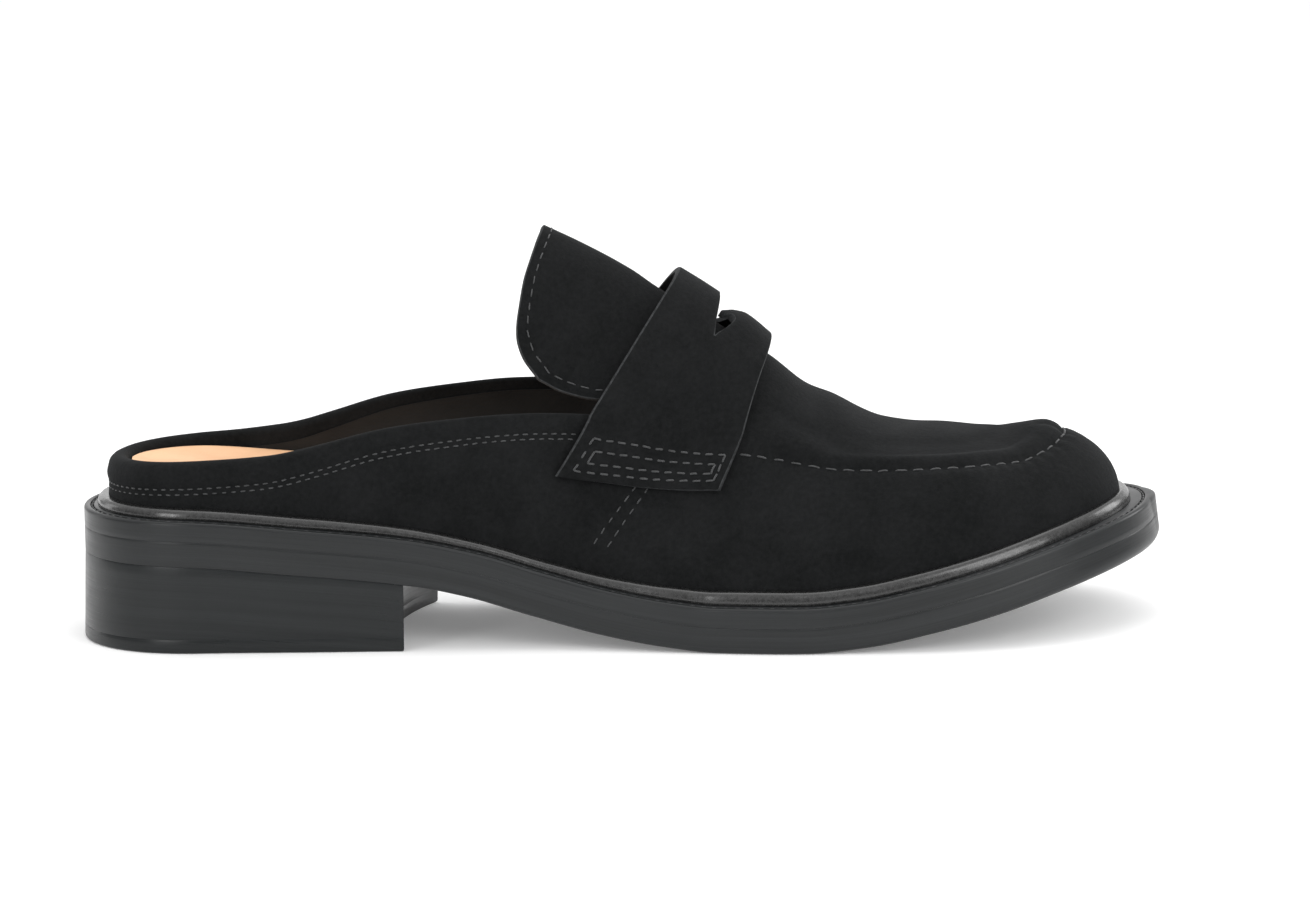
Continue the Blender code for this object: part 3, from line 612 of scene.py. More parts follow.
def skin(place, share):
    """Point and normal on the suede's outside, with its seams, padding and creases."""
    place, share = np.broadcast_arrays(np.asarray(place, float), np.asarray(share, float))
    station = loop_station(place)
    is_open = (station < THROAT) & (share <= 1.0)
    base = rib(place, share)
    normal = rib_normal(place, np.where(is_open, np.minimum(share, OPEN_EDGE), share))
    span = np.linalg.norm(rib(place, np.full(place.shape, 2.0)) - rib_tops(place), axis=-1)
    distance = (1 - share) * np.where(share <= 1.0, wall_length(place), span)
    offset = relief(station, distance)

    def ridge(away, width):
        return np.exp(-(away / width) ** 2)

    gather = (fade(station, SEAM_START, SEAM_START + SEAM_FADE)
              * np.cos(2 * np.pi * station * SOLE_LENGTH / MOC_STITCH[1]))
    offset += PUCKER * gather * ridge(distance - 1.2 * SEAM_DISTANCE, PUCKER_WIDTH)
    collar = 1 - fade(station, 0.95 * THROAT, THROAT)
    middle = 0.5 * TOPLINE_ROWS[0]
    offset += COLLAR_PUFF * collar * ridge(distance - middle, 0.8 * middle)
    for row in TOPLINE_ROWS:
        offset -= STITCH_DENT * collar * ridge(distance - row, DENT_WIDTH)
    on_wall = np.where(share <= 1.0, 1.0, 0.0)
    beside = side_seam_distance(place, share)
    in_front = on_wall * fade(beside, -SIDE_DENT_WIDTH, SIDE_DENT_WIDTH)
    offset -= SIDE_SEAM_STEP * in_front * np.exp(-np.clip(beside, 0.0, None) / SIDE_SEAM_STEP_FADE)
    for row in SIDE_SEAM_ROWS:
        offset -= STITCH_DENT * on_wall * ridge(beside - row, SIDE_DENT_WIDTH)
    offset -= crease_offset(base)
    return base + normal * offset[..., None], normal


def edge_shares(place):
    """Rows of the wall, from foot to top edge, finer near the edge, for each place."""
    below = np.array(EDGE_DISTANCES[::-1])
    near = 1 - below[:, None] * np.minimum(1 / wall_length(place), 0.8 / below[0])
    low = np.linspace(0.0, 1.0, WALL_EVEN_ROWS + 1)[:-1, None] * near[0]
    return np.concatenate([low, near])


def show(name, mesh, *materials):
    """Object in the scene with a mesh and its materials."""
    for finish in materials:
        mesh.materials.append(finish)
    made = bpy.data.objects.new(name, mesh)
    bpy.context.scene.collection.objects.link(made)
    return made


def mesh_piece(name, grids, materials, attributes=None):
    """One smooth mesh from (grid of points, material number) pairs, moved to the frame's place."""
    points, faces, numbers = [], [], []
    first = 0
    for grid, number in grids:
        rows, columns = grid.shape[:2]
        corner = first + np.arange(rows - 1)[:, None] * columns + np.arange(columns - 1)[None, :]
        quads = np.stack([corner, corner + 1, corner + columns + 1, corner + columns], -1)
        points.append(grid.reshape(-1, 3))
        faces.append(quads.reshape(-1, 4))
        numbers.append(np.full(quads.shape[0] * quads.shape[1], number))
        first += rows * columns
    mesh = bpy.data.meshes.new(name)
    mesh.from_pydata((np.concatenate(points) + SHIFT).tolist(), [], np.concatenate(faces).tolist())
    mesh.polygons.foreach_set("material_index", np.concatenate(numbers).astype(np.int32))
    for key, values in (attributes or {}).items():
        layer = mesh.attributes.new(key, "FLOAT", "POINT")
        layer.data.foreach_set("value", np.concatenate([np.ravel(v) for v in values]).astype(np.float32))
    body = bmesh.new()
    body.from_mesh(mesh)
    bmesh.ops.remove_doubles(body, verts=body.verts, dist=WELD_DISTANCE)
    bmesh.ops.recalc_face_normals(body, faces=body.faces)
    body.to_mesh(mesh)
    body.free()
    mesh.shade_smooth()
    mesh.set_sharp_from_angle(angle=math.radians(SHARP_ANGLE))
    return show(name, mesh, *materials)


def settle(made, slot, *nodes):
    """Puts a piece under the root body and hides the CAD nodes that it stands for. The slot is not used.
    """
    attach(made, "root")
    if nodes:
        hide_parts(*nodes)
    return made


# Materials

def add(tree, kind, inputs=None, **settings):
    """New node with its settings, and its inputs set to values or linked from sockets."""
    node = tree.nodes.new(kind)
    for key, value in settings.items():
        setattr(node, key, value)
    for key, value in (inputs or {}).items():
        if isinstance(value, bpy.types.NodeSocket):
            tree.links.new(value, node.inputs[key])
        else:
            node.inputs[key].default_value = value
    return node


def new_material(name, roughness, **sockets):
    """Principled material with its uniform values on the shader's own sockets."""
    made = bpy.data.materials.new(name)
    made.use_nodes = True
    shader = made.node_tree.nodes["Principled BSDF"]
    shader.inputs["Roughness"].default_value = roughness
    for key, value in sockets.items():
        shader.inputs[key.replace("_", " ")].default_value = value
    return made, made.node_tree, shader


def noise(tree, vector, scale, detail=3.0, rough=0.55):
    """Noise between 0 and 1 at a scale in patches per metre."""
    return add(tree, "ShaderNodeTexNoise", {"Vector": vector, "Scale": scale, "Detail": detail,
                                            "Roughness": rough}).outputs[0]


def spread(tree, factor, low, high, start=0.35, end=0.65):
    """A factor's range from start to end spread between two numbers."""
    node = add(tree, "ShaderNodeMapRange", {"Value": factor, "From Min": start, "From Max": end,
                                            "To Min": low, "To Max": high})
    return node.outputs["Result"]


def tint(tree, factor, low, high):
    """Colour between two ends, each a colour or a socket."""
    ends = [end if isinstance(end, bpy.types.NodeSocket) else (*end, 1.0) for end in (low, high)]
    mixed = add(tree, "ShaderNodeMix", {"Factor": factor, 6: ends[0], 7: ends[1]}, data_type="RGBA")
    return mixed.outputs[2]


def bump(tree, height, distance, strength=1.0, normal=None):
    """Bump from a height, in metres at full height."""
    inputs = {"Height": height, "Distance": distance, "Strength": strength}
    if normal is not None:
        inputs["Normal"] = normal
    return add(tree, "ShaderNodeBump", inputs).outputs["Normal"]


def surface(tree):
    """Socket with a point's place on the object, in metres."""
    return add(tree, "ShaderNodeTexCoord").outputs["Object"]


def total(tree, first, second):
    """Sum of two sockets."""
    return add(tree, "ShaderNodeMath", {0: first, 1: second}, operation="ADD").outputs[0]


def paint(tree, shader, factor, dark, light):
    """Base colour between two ends."""
    tree.links.new(tint(tree, factor, dark, light), shader.inputs["Base Color"])


def roughen(tree, shader, height, distance, strength, under=None):
    """Bumps from a height, over the bumps of another normal."""
    tree.links.new(bump(tree, height, distance, strength, under), shader.inputs["Normal"])


def make_suede():
    """Black suede: a fine upright nap, brushed in patches."""
    made, tree, shader = new_material("black_suede", 0.96, Sheen_Weight=0.04, Sheen_Roughness=0.55,
                                      Sheen_Tint=(0.55, 0.57, 0.60, 1.0), Specular_IOR_Level=0.12)
    place = surface(tree)
    brushed = noise(tree, place, 70.0, 4.0, 0.6)
    nap = noise(tree, place, 900.0, 3.0, 0.65)
    fibre = noise(tree, place, 3600.0, 2.0, 0.6)
    factor = spread(tree, total(tree, brushed, nap), 0.0, 1.0, 0.72, 1.30)
    paint(tree, shader, factor, (0.0036, 0.0040, 0.0041), (0.0094, 0.0098, 0.0102))
    roughen(tree, shader, fibre, 0.00007, 0.7, bump(tree, nap, 0.00016, 0.8))
    return made


def make_fibrous(name, roughness, scale, dark, light, depth, strength, **sockets):
    """Dull material with one size of fibre."""
    made, tree, shader = new_material(name, roughness, **sockets)
    fibre = noise(tree, surface(tree), scale)
    paint(tree, shader, spread(tree, fibre, 0.0, 1.0), dark, light)
    roughen(tree, shader, fibre, depth, strength)
    return made


def make_lining():
    """Smooth black lining leather with a fine grain."""
    made, tree, shader = new_material("lining_leather", 0.62, Specular_IOR_Level=0.3)
    place = surface(tree)
    grain = add(tree, "ShaderNodeTexVoronoi", {"Vector": place, "Scale": 1300.0}).outputs["Distance"]
    paint(tree, shader, spread(tree, noise(tree, place, 90.0), 0.0, 1.0),
          (0.0030, 0.0032, 0.0030), (0.0062, 0.0064, 0.0060))
    roughen(tree, shader, grain, 0.00008, 0.5)
    return made


def make_sole_edge(name, dark, light, rough_low, rough_high):
    """Sanded, inked and waxed edge: fine streaks that follow the layers."""
    made, tree, shader = new_material(name, 0.36, Specular_IOR_Level=0.36)
    along = add(tree, "ShaderNodeAttribute", attribute_name="along").outputs["Fac"]
    level = add(tree, "ShaderNodeAttribute", attribute_name="level").outputs["Fac"]
    place = add(tree, "ShaderNodeCombineXYZ", {"X": along, "Y": level}).outputs["Vector"]

    def streaks(stretch, detail, rough):
        drawn = add(tree, "ShaderNodeVectorMath", {0: place, 1: stretch}, operation="MULTIPLY")
        return noise(tree, drawn.outputs["Vector"], 1.0, detail, rough)

    streak = streaks((18.0, 3200.0, 1.0), 4.0, 0.6)
    band = streaks((10.0, 420.0, 1.0), 3.0, 0.5)
    scuff = noise(tree, surface(tree), 60.0, 4.0, 0.6)
    paint(tree, shader, spread(tree, total(tree, streak, band), 0.0, 1.0, 0.75, 1.25), dark, light)
    wear = spread(tree, total(tree, streak, scuff), rough_low, rough_high, 0.75, 1.25)
    tree.links.new(wear, shader.inputs["Roughness"])
    roughen(tree, shader, streak, 0.00004, 0.5, bump(tree, scuff, 0.00025, 0.35))
    return made


def make_rand_gloss():
    """Patent black strip, a little wavy from being bent round the shoe."""
    made, tree, shader = new_material("rand_gloss", 0.28, Specular_IOR_Level=0.6, Coat_Weight=0.3,
                                      Coat_Roughness=0.20)
    place = surface(tree)
    dust = noise(tree, place, 1200.0, 3.0)
    paint(tree, shader, spread(tree, dust, 0.0, 1.0), (0.008, 0.008, 0.008), (0.018, 0.018, 0.018))
    tree.links.new(spread(tree, dust, 0.22, 0.34), shader.inputs["Roughness"])
    roughen(tree, shader, noise(tree, place, 150.0, 2.0), 0.0005, 0.5)
    return made


def make_insole_leather():
    """Tan leather sock: fine pores and a faint mottle."""
    made, tree, shader = new_material("insole_leather", 0.5, Specular_IOR_Level=0.35)
    place = surface(tree)
    mottle = noise(tree, place, 45.0, 4.0, 0.6)
    pores = add(tree, "ShaderNodeTexVoronoi", {"Vector": place, "Scale": 1700.0}).outputs["Distance"]
    pale = tint(tree, spread(tree, mottle, 0.0, 1.0), (0.76, 0.44, 0.245), (0.86, 0.53, 0.31))
    speck = spread(tree, pores, 0.0, 0.16, 0.02, 0.22)
    fleck = add(tree, "ShaderNodeMath", {0: 0.16, 1: speck}, operation="SUBTRACT").outputs[0]
    paint(tree, shader, fleck, pale, (0.50, 0.26, 0.13))
    roughen(tree, shader, pores, 0.00007, 0.6)
    return made


def make_floor_paint():
    """Plain white studio paper."""
    made, tree, shader = new_material("studio_paper", 0.9, Specular_IOR_Level=0.1)
    paint(tree, shader, noise(tree, surface(tree), 3.0), (0.90, 0.90, 0.90), (0.93, 0.93, 0.93))
    shader.inputs["Emission Color"].default_value = (1.0, 1.0, 1.0, 1.0)
    shader.inputs["Emission Strength"].default_value = FLOOR_GLOW
    return made


SUEDE = make_suede()
CUT_EDGE = make_fibrous("cut_edge", 0.85, 1500.0, (0.016, 0.017, 0.0175), (0.040, 0.042, 0.044),
                        0.0001, 0.6, Specular_IOR_Level=0.25)
THREAD = make_fibrous("thread", 0.5, 2400.0, (0.012, 0.0125, 0.013), (0.034, 0.036, 0.038),
                      0.00008, 0.5, Specular_IOR_Level=0.5, Sheen_Weight=0.25)
LINING = make_lining()
SOLE_EDGE = make_sole_edge("sole_edge", (0.006, 0.007, 0.0075), (0.014, 0.0155, 0.0165), 0.28, 0.44)
HEEL_EDGE = make_sole_edge("heel_edge", (0.0025, 0.0038, 0.0044), (0.0075, 0.0092, 0.0100), 0.26, 0.42)
RAND_GLOSS = make_rand_gloss()
INSOLE_LEATHER = make_insole_leather()


# Sole

PLACE_LINE = np.linspace(0.0, 1.0, PLACES + 1)
RUN_LINE = run_of(outline(PLACE_LINE))
RUN_LINE = np.minimum(RUN_LINE, RUN_LINE[-1] - RUN_LINE)   # from the back, on either side


def rings(profile):
    """Grid of rings round the sole, with the level and the run of each point."""
    count = len(PLACE_LINE)
    insets = [np.broadcast_to(inset, count) for inset, level in profile]
    levels = [np.broadcast_to(level, count) for inset, level in profile]
    grid = np.stack([on_sole(PLACE_LINE, inset, level) for inset, level in zip(insets, levels)])
    return grid, np.stack(levels), np.broadcast_to(RUN_LINE, grid.shape[:2])


def filled(ring, columns, level):
    """Grid across a ring, with its level and run."""
    grid = cap(ring, columns)
    run = np.broadcast_to(RUN_LINE[:grid.shape[0], None], grid.shape[:2])
    return grid, np.full(grid.shape[:2], level), run


def layered_piece(name, parts, finishes):
    """Mesh from (grid, level, run, material number), with the attributes for its streaks."""
    grids = [(grid, number) for grid, level, run, number in parts]
    attributes = {"level": [part[1] for part in parts], "along": [part[2] for part in parts]}
    return mesh_piece(name, grids, finishes, attributes)


def make_outsole():
    """Bottom layer with a rounded tread edge, which is closed up over the heel block."""
    station = loop_station(PLACE_LINE)
    radius = TREAD_ROUND + (TREAD_ROUND_TOE - TREAD_ROUND) * fade(station, 0.80, 0.98)
    radius = JOIN_ROUND + (radius - JOIN_ROUND) * fade(station, 0.300, 0.325)
    top = OUTSOLE_THICKNESS
    profile = [(radius * (1 - np.sin(turn)), radius * (1 - np.cos(turn)))
               for turn in np.linspace(0.0, 0.5 * np.pi, 7)]
    profile += [(0.0, radius + (top - LAYER_LINE - radius) * share) for share in (0.3, 0.6, 0.9)]
    profile += [(0.0, top - LAYER_LINE), (0.6 * LAYER_LINE, top), (LAYER_REACH, top)]
    side = rings(profile)
    bottom = filled(side[0][0], 30, 0.0)
    return layered_piece("outsole_layer", [(*side, 0), (*bottom, 0)], [SOLE_EDGE])


def make_welt():
    """Layer over the outsole, with a bevelled rim and the groove for its stitches."""
    base = OUTSOLE_THICKNESS + TOUCH
    profile = [(LAYER_REACH, base), (0.6 * LAYER_LINE, base), (0.0, base + LAYER_LINE)]
    profile += [(0.0, base + (WELT_THICKNESS + FIT_GAP - RIM_BEVEL) * share) for share in (0.3, 0.6, 0.9)]
    profile += [(RIM_BEVEL * (1 - np.cos(turn)), RIM_LEVEL - RIM_BEVEL * (1 - np.sin(turn)))
                for turn in np.linspace(0.0, 0.5 * np.pi, 5)]
    groove = ((0.0, 0.0), (0.15, GROOVE_EASE), (0.30, GROOVE_DEPTH), (0.70, GROOVE_DEPTH),
              (0.85, GROOVE_EASE), (1.0, 0.0))
    profile += [(GROOVE_INSET + across * GROOVE_WIDTH, RIM_LEVEL - deep) for across, deep in groove]
    profile.append((WELT_REACH, RIM_LEVEL))
    return layered_piece("welt_rim", [(*rings(profile), 0)], [SOLE_EDGE])


def make_rand():
    """Rounded strip that covers the join of the upper and the rim, lower at the waist."""
    station = loop_station(PLACE_LINE)
    inner = feather_inset(station) - FIT_GAP
    waist = fade(station, 0.20, 0.40) * (1 - fade(station, 0.42, 0.62))
    heel = 1 - fade(station, 0.30, 0.60)
    tall = RAND_HEIGHT * (1 - RAND_HEEL_LOSS * heel - RAND_WAIST_LOSS * waist)
    foot = RIM_LEVEL + 0.3 * FIT_GAP
    profile = [(inner, foot)]
    for turn in np.linspace(-0.15 * np.pi, 0.5 * np.pi, 12):
        out = (RAND_WIDTH - RAND_TILT) * np.cos(turn) ** 0.8 + RAND_TILT
        up = RAND_FOOT_SHARE + (1 - RAND_FOOT_SHARE) * np.sin(max(turn, -0.19))
        profile.append((inner - out, foot + tall * up))
    profile.append((inner + 2 * FIT_GAP, foot + tall))
    return layered_piece("rand_strip", [(*rings(profile), 0)], [RAND_GLOSS])


def make_heel():
    """Stacked heel: bevelled foot, rubber lift, and its front hollowed to a curve."""
    across = np.linspace(0.0, 1.0, 25)
    along = 1 - np.cos(np.linspace(0.0, 0.5 * np.pi, 81))
    breast = (BREAST_OUTER + (BREAST_INNER - BREAST_OUTER) * across
              - 4 * BREAST_HOLLOW * across * (1 - across))
    x = along[:, None] * breast
    outer = -half_width(along * BREAST_OUTER / SOLE_LENGTH, 1)
    inner = half_width(along * BREAST_INNER / SOLE_LENGTH, 2)
    y = outer[:, None] * (1 - across) + inner[:, None] * across
    plan = np.stack([x, y], -1)
    rake = HEEL_RAKE * np.broadcast_to(1 - along[:, None], x.shape)
    steps = ((0.0, HEEL_BEVEL), (0.3 * HEEL_BEVEL, 0.3 * HEEL_BEVEL), (HEEL_BEVEL, 0.0),
             (LIFT_HEIGHT - LIFT_GROOVE, 0.0), (LIFT_HEIGHT, 0.5 * LIFT_GROOVE),
             (LIFT_HEIGHT + LIFT_GROOVE, 0.0))
    walls = []
    for edge in (np.s_[:, 0], np.s_[:, -1], np.s_[-1, :]):
        line = plan[edge]
        to_middle = unit(np.array([HEEL_MIDDLE, 0.0]) - line)
        top = underside(line[:, 0])[0] - TOUCH
        heights = [(np.full(len(line), height), pull) for height, pull in steps]
        heights += [(share * top, 0.0) for share in (0.30, 0.5, 0.7, 0.88)]
        rows, levels = [], []
        for z, pull in heights:
            inset = pull + HEEL_TAPER * (1 - z / top)
            row = np.concatenate([line + to_middle * inset[:, None], z[:, None]], -1)
            row[:, 0] -= rake[edge] * (1 - z / top)
            rows.append(row)
            levels.append(z - 0.9 * top)
        for drop, pull in ((1.5 * LIFT_GROOVE, 0.0), (0.0, 0.5 * LIFT_GROOVE)):
            rows.append(np.concatenate([line + to_middle * pull, (top - drop)[:, None]], -1))
            levels.append(0.1 * top)
        run = np.broadcast_to(np.linalg.norm(line, axis=-1), (len(rows), len(line)))
        walls.append((np.stack(rows), np.stack(levels), run, 0))
    shrink = 1 - (HEEL_TAPER + HEEL_BEVEL) / (0.5 * np.ptp(y))
    bottom = np.stack([HEEL_MIDDLE + (x - HEEL_MIDDLE) * shrink - rake, y * shrink, 0 * x], -1)
    return layered_piece("heel_stack", walls + [(bottom, 0 * x, x, 0)], [HEEL_EDGE])


def make_footbed():
    """Padded insole with a rolled edge, cupped under the heel."""
    station = loop_station(PLACE_LINE)
    fit = wall_thickness(station) + LINING_RAISE + FOOTBED_GAP
    tall = INSOLE_HEEL + (INSOLE_FOREFOOT - INSOLE_HEEL) * fade(station, 0.30, 0.66)
    share = np.minimum([share_at(*pair) for pair in zip(PLACE_LINE, tall)], 0.95)
    edge = rib(PLACE_LINE, share) - rib_normal(PLACE_LINE, share) * fit[:, None]
    edge[:, 2] = np.maximum(edge[:, 2], rib_feet(PLACE_LINE)[:, 2] + tall)
    edge[-1] = edge[0]
    top = cap(edge, FOOTBED_COLUMNS)
    across = np.sin(np.linspace(-0.5 * np.pi, 0.5 * np.pi, FOOTBED_COLUMNS + 1))
    half = (across + 1) / 2
    top = top[:, :1] * (1 - half[None, :, None]) + top[:, -1:] * half[None, :, None]
    heel_cup = INSOLE_CUP * (1 - fade(top[:, 0, 0], 0.25 * SOLE_LENGTH, 0.55 * SOLE_LENGTH))
    dish = np.minimum(1.0, 8 * np.linspace(0.0, 1.0, len(top)))
    top[..., 2] -= (heel_cup * dish)[:, None] * (1 - across ** 2)[None, :]
    width = np.linalg.norm(top[:, 0] - top[:, -1], axis=-1)[:, None]
    away = width * np.minimum(half, 1 - half)[None, :]
    top[..., 2] -= FOOTBED_ROLL * np.exp(-away / FOOTBED_ROLL_WIDTH)
    skirt = np.stack([edge - [0.0, 0.0, FOOTBED_SKIRT], edge - [0.0, 0.0, FOOTBED_ROLL]])
    return mesh_piece("footbed", [(skirt, 0), (top, 0)], [INSOLE_LEATHER])


# Upper

# The places nearest to the throat's corners are moved onto them
OUTER_THROAT, INNER_THROAT = (int(np.argmin(np.abs(PLACE_LINE - loop_place(THROAT, side))))
                              for side in (-1, 1))
PLACE_LINE[OUTER_THROAT] = loop_place(THROAT, -1)
PLACE_LINE[INNER_THROAT] = loop_place(THROAT, 1)
VAMP = slice(OUTER_THROAT, INNER_THROAT + 1)
COLLARS = (slice(0, OUTER_THROAT + 1), slice(INNER_THROAT, None))


def apron_shares():
    """Rows of the apron, finer near its edge."""
    near = np.linspace(0.0, APRON_EDGE, APRON_EDGE_ROWS)
    return 1 + np.concatenate([near, np.linspace(APRON_EDGE, 1.0, APRON_ROWS)[1:]])[:, None]


def level_crest(normal, share):
    """Normals that stand in the middle plane on the crown."""
    level = normal.copy()
    level[..., 1] *= 1 - fade(share, CREST, 2.0)
    return np.where((share > CREST)[..., None], unit(level), normal)


def inside(place, share, extra):
    """Inner surface of the upper's wall, further in by an extra distance."""
    station = loop_station(place)
    is_open = (station < THROAT) & (share <= 1.0)
    normal = rib_normal(place, np.where(is_open, np.minimum(share, OPEN_EDGE), share))
    normal = level_crest(normal, share)
    thick = np.where(share <= 1.0, wall_thickness(station), UPPER_WALL) + extra
    return rib(place, share) - normal * thick[..., None]


def rolled(outer, inner, raised, steps):
    """Rounded edge from the outer to the inner surface."""
    turn = np.linspace(0.0, np.pi, steps + 1)[:, None, None]
    middle, half = (outer + inner) / 2, (outer - inner) / 2
    return middle + half * np.cos(turn) + raised * np.sin(turn)


def make_upper():
    """Suede outside with its rolled top edge."""
    share = edge_shares(PLACE_LINE)
    wall = skin(np.broadcast_to(PLACE_LINE, share.shape), share)[0]
    vamp_places = PLACE_LINE[VAMP]
    over = np.broadcast_to(apron_shares(), (APRON_EDGE_ROWS + APRON_ROWS - 1, len(vamp_places)))
    apron = skin(np.broadcast_to(vamp_places, over.shape), over)[0]
    apron[-1] = (apron[-1] + apron[-1, ::-1]) / 2
    parts = [(wall, 0), (apron, 0)]
    for collar in COLLARS:
        place = PLACE_LINE[collar]
        top_in = inside(place, np.ones(len(place)), 0.0)
        turned = inside(place, 1 - TURN_IN / wall_length(place), 0.0)
        thick = wall_thickness(loop_station(place))
        raised = unit(wall[-1, collar] - wall[-2, collar]) * (0.42 * thick)[:, None]
        parts.append((rolled(wall[-1, collar], top_in, raised, LIP_STEPS), 0))
        parts.append((np.stack([top_in, turned]), 0))
    for column in (0, -1):
        place = np.full(len(over), vamp_places[column])
        within = inside(place, over[:, column], 0.0)
        back = np.array([-0.3 * UPPER_WALL, 0.0, 0.0])
        parts.append((rolled(apron[:, column], within, back, 4), 0))
    return settle(mesh_piece("suede_upper", parts, [SUEDE]), "suede", "upper")


def make_lining_shell():
    """Lining inside the wall and the apron, up to the suede that is turned in."""
    low_share = np.linspace(0.0, 1.0, 15)[:, None] * (1 - 0.7 * TURN_IN / wall_length(PLACE_LINE))
    wall = inside(np.broadcast_to(PLACE_LINE, low_share.shape), low_share, LINING_RAISE)
    wall[:, -1] = wall[:, 0]
    vamp_places = PLACE_LINE[VAMP]
    over = np.broadcast_to(1 + np.linspace(0.0, 1.0, 14)[:, None], (14, len(vamp_places)))
    apron = inside(np.broadcast_to(vamp_places, over.shape), over, LINING_RAISE)
    top = wall[-1] + (inside(PLACE_LINE, low_share[-1], 0.0) - wall[-1]) * 0.9
    grids = [wall, apron, np.stack([wall[-1, VAMP], apron[0]])]
    grids += [np.stack([wall[-1, collar], top[collar]]) for collar in COLLARS]
    return settle(mesh_piece("lining", [(grid, 0) for grid in grids], [LINING]), "suede")


# Tongue

def tongue_frame():
    """Corners and butt line of the tongue, where the throat ends."""
    feet = loop_place(THROAT, np.array([-1, 1]))
    corners = rib(feet, np.array([1.0, 1.0]))
    butt = rib(feet, np.array([2.0, 2.0]))[0]
    return corners, butt


def tongue_point(across, along):
    """Point on the tongue's outer surface: across -1 to 1, along from the butt line."""
    corners, butt = tongue_frame()
    square = np.array([np.sin(TONGUE_SLOPE), 0.0, np.cos(TONGUE_SLOPE)])
    line_x = butt[0] - along * np.cos(TONGUE_SLOPE)
    line = np.stack([line_x, 0 * line_x, crown(line_x)], -1)
    narrow = fade(along, 0.0, TONGUE_BLEND)
    corner = np.where((across < 0)[..., None], corners[0], corners[1])
    first_drop = np.sum((butt - corner) * square, -1)
    deep = first_drop + (TONGUE_DROP - first_drop) * fade(along, 0.0, 1.6 * TONGUE_BLEND)
    drop = (corner - butt) * (1 - narrow[..., None]) - deep[..., None] * square * narrow[..., None]
    half = np.abs(corner[..., 1]) - TONGUE_NARROWING * narrow
    outer = line + drop * (TONGUE_TRIM * np.abs(across))[..., None] ** CROWN_POWER
    outer[..., 1] = half * TONGUE_TRIM * across
    return outer


def tongue_skin(across, along):
    """Point and outward normal on the tongue."""
    across, along = np.broadcast_arrays(np.asarray(across, float), np.asarray(along, float))
    reach = 0.004
    sideways = tongue_point(across + reach, along) - tongue_point(across - reach, along)
    away = tongue_point(across, along + reach * 0.05) - tongue_point(across, along - reach * 0.05)
    normal = unit(np.cross(sideways, away))
    normal = np.where((normal[..., 2] < 0)[..., None], -normal, normal)
    return tongue_point(across, along) - normal * TONGUE_SINK, normal


def tongue_reach(across):
    """Length of the tongue at a share of its width."""
    return TONGUE_LENGTH * through(TONGUE_END, 1, np.abs(across))


def make_tongue():
    """Arched tab with a rounded raw edge."""
    across = np.sin(np.linspace(-0.5 * np.pi, 0.5 * np.pi, TONGUE_COLUMNS + 1))[None, :]
    rows = np.concatenate([np.linspace(0.0, 0.9, TONGUE_ROWS), np.linspace(0.9, 1.0, 14)[1:]])[:, None]
    along = rows * tongue_reach(across)
    outer, normal = tongue_skin(across, along)
    inner = outer - normal * TONGUE_WALL
    ring_outer, ring_inner = (np.concatenate([face[:, 0], face[-1, 1:], face[::-1, -1][1:]])
                              for face in (outer, inner))
    away = unit(ring_outer - outer[TONGUE_ROWS // 2, TONGUE_COLUMNS // 2])
    parts = [(outer, 0), (inner, 1), (rolled(ring_outer, ring_inner, away * TONGUE_EDGE_ROUND, 6), 2)]
    return settle(mesh_piece("suede_tongue", parts, [SUEDE, LINING, CUT_EDGE]), "suede", "tongue")


# Strap

SPREAD = STRAP_FRONT - STRAP_REAR
STRAP_SAMPLE = np.linspace(1.0, 2.0, 81)


def strap_crown_run():
    """Distance from the crown along the middle of the strap, at samples of the apron's share."""
    middle = loop_place(STRAP_REAR + SLOT_PLACE * SPREAD, -1)
    run = run_of(rib(np.full(len(STRAP_SAMPLE), middle), STRAP_SAMPLE))
    return run[-1] - run


STRAP_RUN = strap_crown_run()


def strap_lows():
    """Share of the rib's wall at the strap's low end, at samples across its width, by side."""
    share = STRAP_LOW_SAMPLE
    station = STRAP_REAR + (SPREAD - STRAP_TUCK) * share
    height = STRAP_LOW_REAR + (STRAP_LOW_FRONT - STRAP_LOW_REAR) * share
    return {side: np.array([share_at(place, above) for place, above in
                            zip(loop_place(station, side), height)])
            for side in (-1, 1)}


STRAP_LOW_SAMPLE = np.linspace(0.0, 1.0, 25)
STRAP_LOWS = strap_lows()


def strap_skin(share, up, side):
    """Point and normal on the strap's outer face. Share runs from its rear to its front edge."""
    tuck = STRAP_TUCK * share * np.clip(1 - 2 * (up - 1), 0.0, 1.0)
    place = loop_place(STRAP_REAR + SPREAD * share - tuck, side)
    base, normal = rib(place, up), rib_normal(place, up)
    normal = level_crest(normal, up)
    near_slot = 1 - np.clip(np.interp(up, STRAP_SAMPLE, STRAP_RUN) / SLOT_HALF_LENGTH, 0.0, 1.0) ** 2
    at_slot, away = (through(LIFT_PROFILE, column, share) for column in (1, 2))
    lift = away + (at_slot - away) * near_slot
    off = STRAP_GAP + STRAP_LIFT * fade(up, 1.0, 1.75) * lift + STRAP_WALL
    return base + normal * off[..., None], normal


def from_side_to_side(rows):
    """Values from the outer side's low end to the crown, and on to the inner side's low end."""
    return np.concatenate([rows, rows[-2::-1]])


